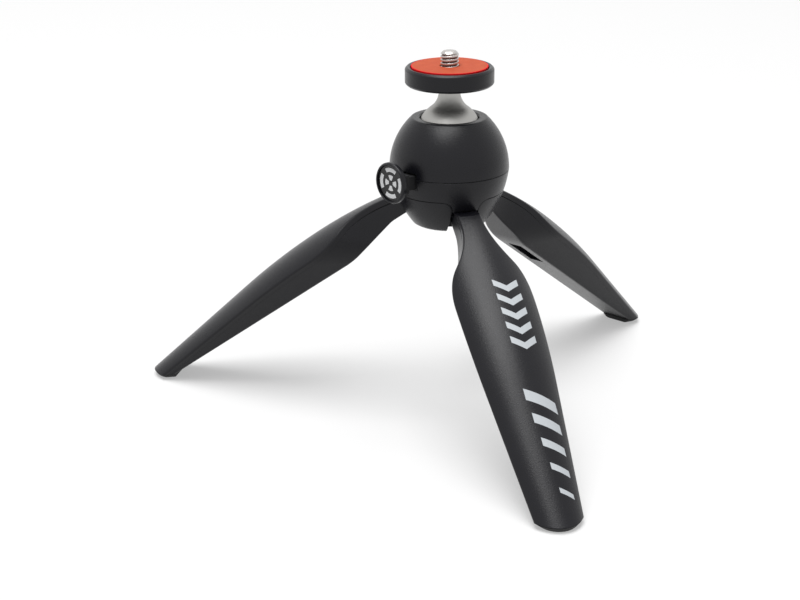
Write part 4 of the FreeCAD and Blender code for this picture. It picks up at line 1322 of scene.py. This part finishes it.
def decal_recipe():
    decal = Recipe("decal", Mark="Object", Surface="Object", Ink="Material", Count="Int",
                   Start="Vector", Step="Vector", Axis="Vector", Turn="Float", Size="Float",
                   Growth="Float")
    node, given = decal.node, decal.given
    index = node("GeometryNodeInputIndex", {}, {})
    line = node("GeometryNodeMeshLine", {"mode": "OFFSET"}, {
        "Count": given["Count"], "Start Location": given["Start"], "Offset": given["Step"]})
    motif, surface = (node("GeometryNodeObjectInfo", {}, {"Object": given[title]}, "Geometry")
                      for title in ("Mark", "Surface"))
    turned = node("FunctionNodeAxisAngleToRotation", {}, {
        "Axis": given["Axis"], "Angle": index * given["Turn"]})
    copies = node("GeometryNodeInstanceOnPoints", {}, {
        "Points": line, "Instance": motif, "Rotation": turned,
        "Scale": given["Size"] + index * given["Growth"]})
    real = node("GeometryNodeRealizeInstances", {}, {"Geometry": copies})
    inward = node("ShaderNodeVectorMath", {"operation": "SCALE"},
                  {0: given["Axis"], "Scale": -1.0})
    hit = node("GeometryNodeRaycast", {}, {
        "Target Geometry": surface, "Ray Direction": inward, "Ray Length": RAY_LENGTH}, "Is Hit")
    lift = node("GeometryNodeInputNamedAttribute", {"data_type": "FLOAT"}, {"Name": "lift"})
    offset = node("ShaderNodeVectorMath", {"operation": "SCALE"},
                  {0: hit.also("Hit Normal"), "Scale": lift})
    spot = node("ShaderNodeVectorMath", {"operation": "ADD"},
                {0: hit.also("Hit Position"), 1: offset})
    laid = node("GeometryNodeSetPosition", {}, {
        "Geometry": real, "Selection": hit, "Position": spot})
    decal.end(laid, given["Ink"])
    return decal


decal = decal_recipe()


def decals(name, body, *rows):
    """Bakes one or more rows of marks into one mesh that rides on a body."""
    joined = bmesh.new()
    for row in rows:
        joined.from_mesh(decal.make(name + "_row", row))
        bpy.data.objects.remove(row["Mark"])
    for face in joined.faces:
        face.material_index = 0
    mesh = bpy.data.meshes.new(name)
    store(joined, mesh)
    mesh.materials.append(rows[0]["Ink"])
    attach(put(name, mesh), body)
    print(f"{name}: {len(mesh.polygons)} faces")


# %% [markdown]
# On the leg, each row starts in the air outside the cover and steps down along it. On the
# button, the copies share one spot and turn about the button's axis.

# %% Print on the front leg and on the button
PRINT_REACH, PRINT_SIDE = 32.0, 3.6
CHEVRON_DEPTH, CHEVRON_PITCH, BAR_DEPTH, BAR_PITCH, BAR_GROWTH = 42.0, 5.6, 84.0, 8.0, -0.14
MARK_COUNT, PETAL_COUNT, BUTTON_AIR = 5, 4, 35.0
front = leg_frame(LEGS["front"])
front_turn = front.to_3x3()


def leg_row(motif, depth, pitch, growth):
    return {"Mark": motif, "Surface": bpy.data.objects["leg_cover_front_look"], "Ink": ink,
            "Count": MARK_COUNT, "Start": front @ (Vector((PRINT_REACH, PRINT_SIDE, -depth)) * MM),
            "Step": front_turn @ (Vector((0, 0, -pitch)) * MM),
            "Axis": front_turn @ Vector((1, 0, 0)), "Turn": 0.0, "Size": 1.0, "Growth": growth}


chevron = mark("chevron", [line_strip(4.6, 1.25, lambda side: abs(side) * -0.62)],
               front_turn.to_4x4())
slash = mark("slash", [line_strip(5.2, 2.0, lambda side: side * 0.5)], front_turn.to_4x4())
decals("front_leg_print", "leg_front", leg_row(chevron, CHEVRON_DEPTH, CHEVRON_PITCH, 0.0),
       leg_row(slash, BAR_DEPTH, BAR_PITCH, BAR_GROWTH))

button_turn = button_axis.to_3x3()
petal = mark("petal", [arc_strip(3.95, 1.45, 62.0), arc_strip(1.0, 1.8, 50.0)],
             button_turn.to_4x4() @ turn_about("Y", -90))
decals("button_print", "button", {
    "Mark": petal, "Surface": bpy.data.objects["button_face_look"], "Ink": white_ink,
    "Count": PETAL_COUNT, "Turn": 2 * math.pi / PETAL_COUNT, "Size": 1.0, "Growth": 0.0,
    "Start": button_axis @ Vector((0, 0, BUTTON_AIR * MM)), "Step": Vector(),
    "Axis": button_turn @ Vector((0, 0, 1))})

# %% [markdown]
# ## Springs
#
# Two steel coils work inside the housing: one presses the clamp's cup up against the ball, the
# other pushes the button back out. The construction model has plain tubes for them. A coil follows
# a path, so Geometry Nodes sweep a round wire along a spiral.

# %% Coil springs


def coil_recipe():
    coil = Recipe("coil", Turns="Float", Radius="Float", Wire="Float", Length="Float",
                  Metal="Material")
    given = coil.given
    path = coil.node("GeometryNodeCurveSpiral", {}, {
        "Resolution": 40, "Rotations": given["Turns"], "Start Radius": given["Radius"],
        "End Radius": given["Radius"], "Height": given["Length"]})
    wire = coil.node("GeometryNodeCurvePrimitiveCircle", {}, {
        "Resolution": 12, "Radius": given["Wire"]})
    swept = coil.node("GeometryNodeCurveToMesh", {}, {
        "Curve": path, "Profile Curve": wire, "Fill Caps": True})
    coil.end(swept, given["Metal"])
    return coil


coil = coil_recipe()


def spring(node, turns, radius, wire, bottom, top, place):
    """A coil whose outside fills the node's radius and length, in place of the node's tube."""
    mesh = coil.make(node, {
        "Turns": turns, "Radius": (radius - wire / 2) * MM, "Wire": wire / 2 * MM,
        "Length": (top - bottom - wire) * MM, "Metal": steel})
    mesh.transform(place @ shift(0, 0, bottom + wire / 2))
    mesh.shade_smooth()
    return dressed(put(node + "_look", mesh), "base", "steel", node)


clamp_low, clamp_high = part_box("clamp_spring")
cup_spring = spring("clamp_spring", 4.5, 4.0, 0.9, clamp_low.z / MM, clamp_high.z / MM, ORIGIN)
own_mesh(cup_spring)

RETURN_LEVEL, RETURN_START, RETURN_END = -2.2, 6.05, 18.25
inward_axis = towards(BUTTON_AZIMUTH) @ shift(0, 0, RETURN_LEVEL) @ turn_about("Y", -90)
button_spring = spring("return_spring", 9.0, 1.2, 0.4, RETURN_START, RETURN_END, inward_axis)
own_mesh(button_spring)

# %% [markdown]
# ## Parts that keep their own mesh
#
# What hides inside the head and behind the button's cap has the right shape already. Each of
# those nodes only gets its material.

# %% Materials for the carried-over nodes
PLAIN = {
    "pan_ring": inner_black, "clamp_cup": inner_black, "leg_carrier": inner_black,
    "button_sleeve": inner_black, "button_plunger": inner_black, "clamp_nut": steel,
    "hub_screw": steel, "hub_plate": charcoal,
}
for leg_name in LEGS:
    PLAIN |= {f"hinge_pin_{leg_name}": steel, f"washer_{leg_name}_a": inner_black,
              f"washer_{leg_name}_b": inner_black}
for node_name, finish in PLAIN.items():
    mesh = nodes[node_name].data
    mesh.materials.clear()
    mesh.materials.append(finish)
print("carried over:", len(PLAIN), "nodes")

# %% [markdown]
# ## Studio
#
# The photograph is a catalogue shot: a white ground and one large soft light overhead, a little
# left of the tripod, with a weaker one high up in front. The light shows as a broad sheen along
# the top of the dome and down the front leg, and the legs cast wide soft shadows. The floor is
# a pale grey. A glow that only the camera and reflections see lifts it to white, so the shadows
# stay as soft as in the photograph.

# %% Floor
FLOOR_LEVEL, FLOOR_HALF, FLOOR_GLOW = -(RING_DEPTH + FLOOR_DROP) * MM, 6.0, 0.4


def seen_directly(tree):
    """1 where the camera or a reflection looks straight at a surface, and 0 for other light."""
    straight, mirrored, through = (tree.node("ShaderNodeLightPath", {}, {}, f"Is {kind} Ray")
                                   for kind in ("Camera", "Glossy", "Transmission"))
    return straight.maths("MAXIMUM", mirrored).maths("MAXIMUM", through)


def ground():
    mesh = bpy.data.meshes.new("floor")
    corners = ((-1, -1), (1, -1), (1, 1), (-1, 1))
    mesh.from_pydata([(x * FLOOR_HALF, y * FLOOR_HALF, FLOOR_LEVEL) for x, y in corners], [],
                     [(0, 1, 2, 3)])
    finish = Finish("floor_white", Base_Color=colour(194, 194, 194), Roughness=0.9,
                    Specular_IOR_Level=0.1, Emission_Strength=FLOOR_GLOW)
    finish.set("Emission Color", finish.blend(seen_directly(finish), (0, 0, 0, 1), (1, 1, 1, 1)))
    mesh.materials.append(finish.material)
    return put("floor", mesh)


floor = ground()
print("floor:", round(FLOOR_LEVEL / MM, 1), "mm")

# %% [markdown]
# One large softbox hangs over the tripod and a small one in front of it. The room itself
# gives a low even light, and reflections see it as white.

# %% Light
LAMP_DISTANCE, AMBIENT = 3.0, 0.25


def direction(azimuth, elevation):
    """The way to look from the ring, by two angles in degrees."""
    turn, lift = math.radians(azimuth), math.radians(elevation)
    return Vector((math.cos(lift) * math.cos(turn), math.cos(lift) * math.sin(turn),
                   math.sin(lift)))


def softbox(name, azimuth, elevation, size, power):
    """A square lamp on a sphere round the tripod, facing it."""
    light = bpy.data.lights.new(name, "AREA")
    light.shape = "SQUARE"
    light.size = size
    light.energy = power
    away = direction(azimuth, elevation)
    lamp = put(name, light)
    lamp.location = at_ring @ (away * LAMP_DISTANCE)
    lamp.rotation_euler = away.to_track_quat("Z", "Y").to_euler()
    print(f"{name} lamp: {size} m wide, {power} W")


softbox("overhead", 165.0, 85.0, 2.4, 86.0)
softbox("front", -125.0, 66.0, 1.3, 18.0)

world = bpy.data.worlds.new("studio")
bpy.context.scene.world = world
world.use_nodes = True
studio = Tree(world.node_tree)
backing = world.node_tree.nodes["Background"]
backing.inputs["Color"].default_value = (1, 1, 1, 1)
studio.feed(backing.inputs["Strength"], seen_directly(studio) * (1 - AMBIENT) + AMBIENT)

# %% [markdown]
# ## Camera
#
# The photograph's camera was worked out from the tripod's own geometry: three legs at exact
# thirds of a turn, and the round head, fix its distance, height and lens. It stood 617 mm from
# the housing, 16 degrees above it, and it was tipped down and turned a little.

# %% Camera
CAMERA_DISTANCE, CAMERA_AZIMUTH, CAMERA_ELEVATION = 616.7, -108.86, 15.84
CAMERA_PAN, CAMERA_TILT, CAMERA_ROLL = -1.71, -4.39, -0.34
FOCAL_PIXELS, PHOTO_WIDTH, SENSOR = 1735.0, 800.0, 36.0

lens = bpy.data.cameras.new("camera")
lens.sensor_width = SENSOR
lens.lens = FOCAL_PIXELS / PHOTO_WIDTH * SENSOR
lens.clip_start = 0.05
camera = put("camera", lens)
bpy.context.scene.camera = camera
camera.location = at_ring @ (direction(CAMERA_AZIMUTH, CAMERA_ELEVATION) * CAMERA_DISTANCE * MM)
heading = turn_about("Z", CAMERA_AZIMUTH + 90 - CAMERA_PAN)
tipping = turn_about("X", 90 - CAMERA_ELEVATION + CAMERA_TILT)
camera.rotation_euler = (heading @ tipping @ turn_about("Z", CAMERA_ROLL)).to_euler()
print("lens:", round(lens.lens, 2), "mm")

bpy.context.scene.view_settings.view_transform = "Standard"
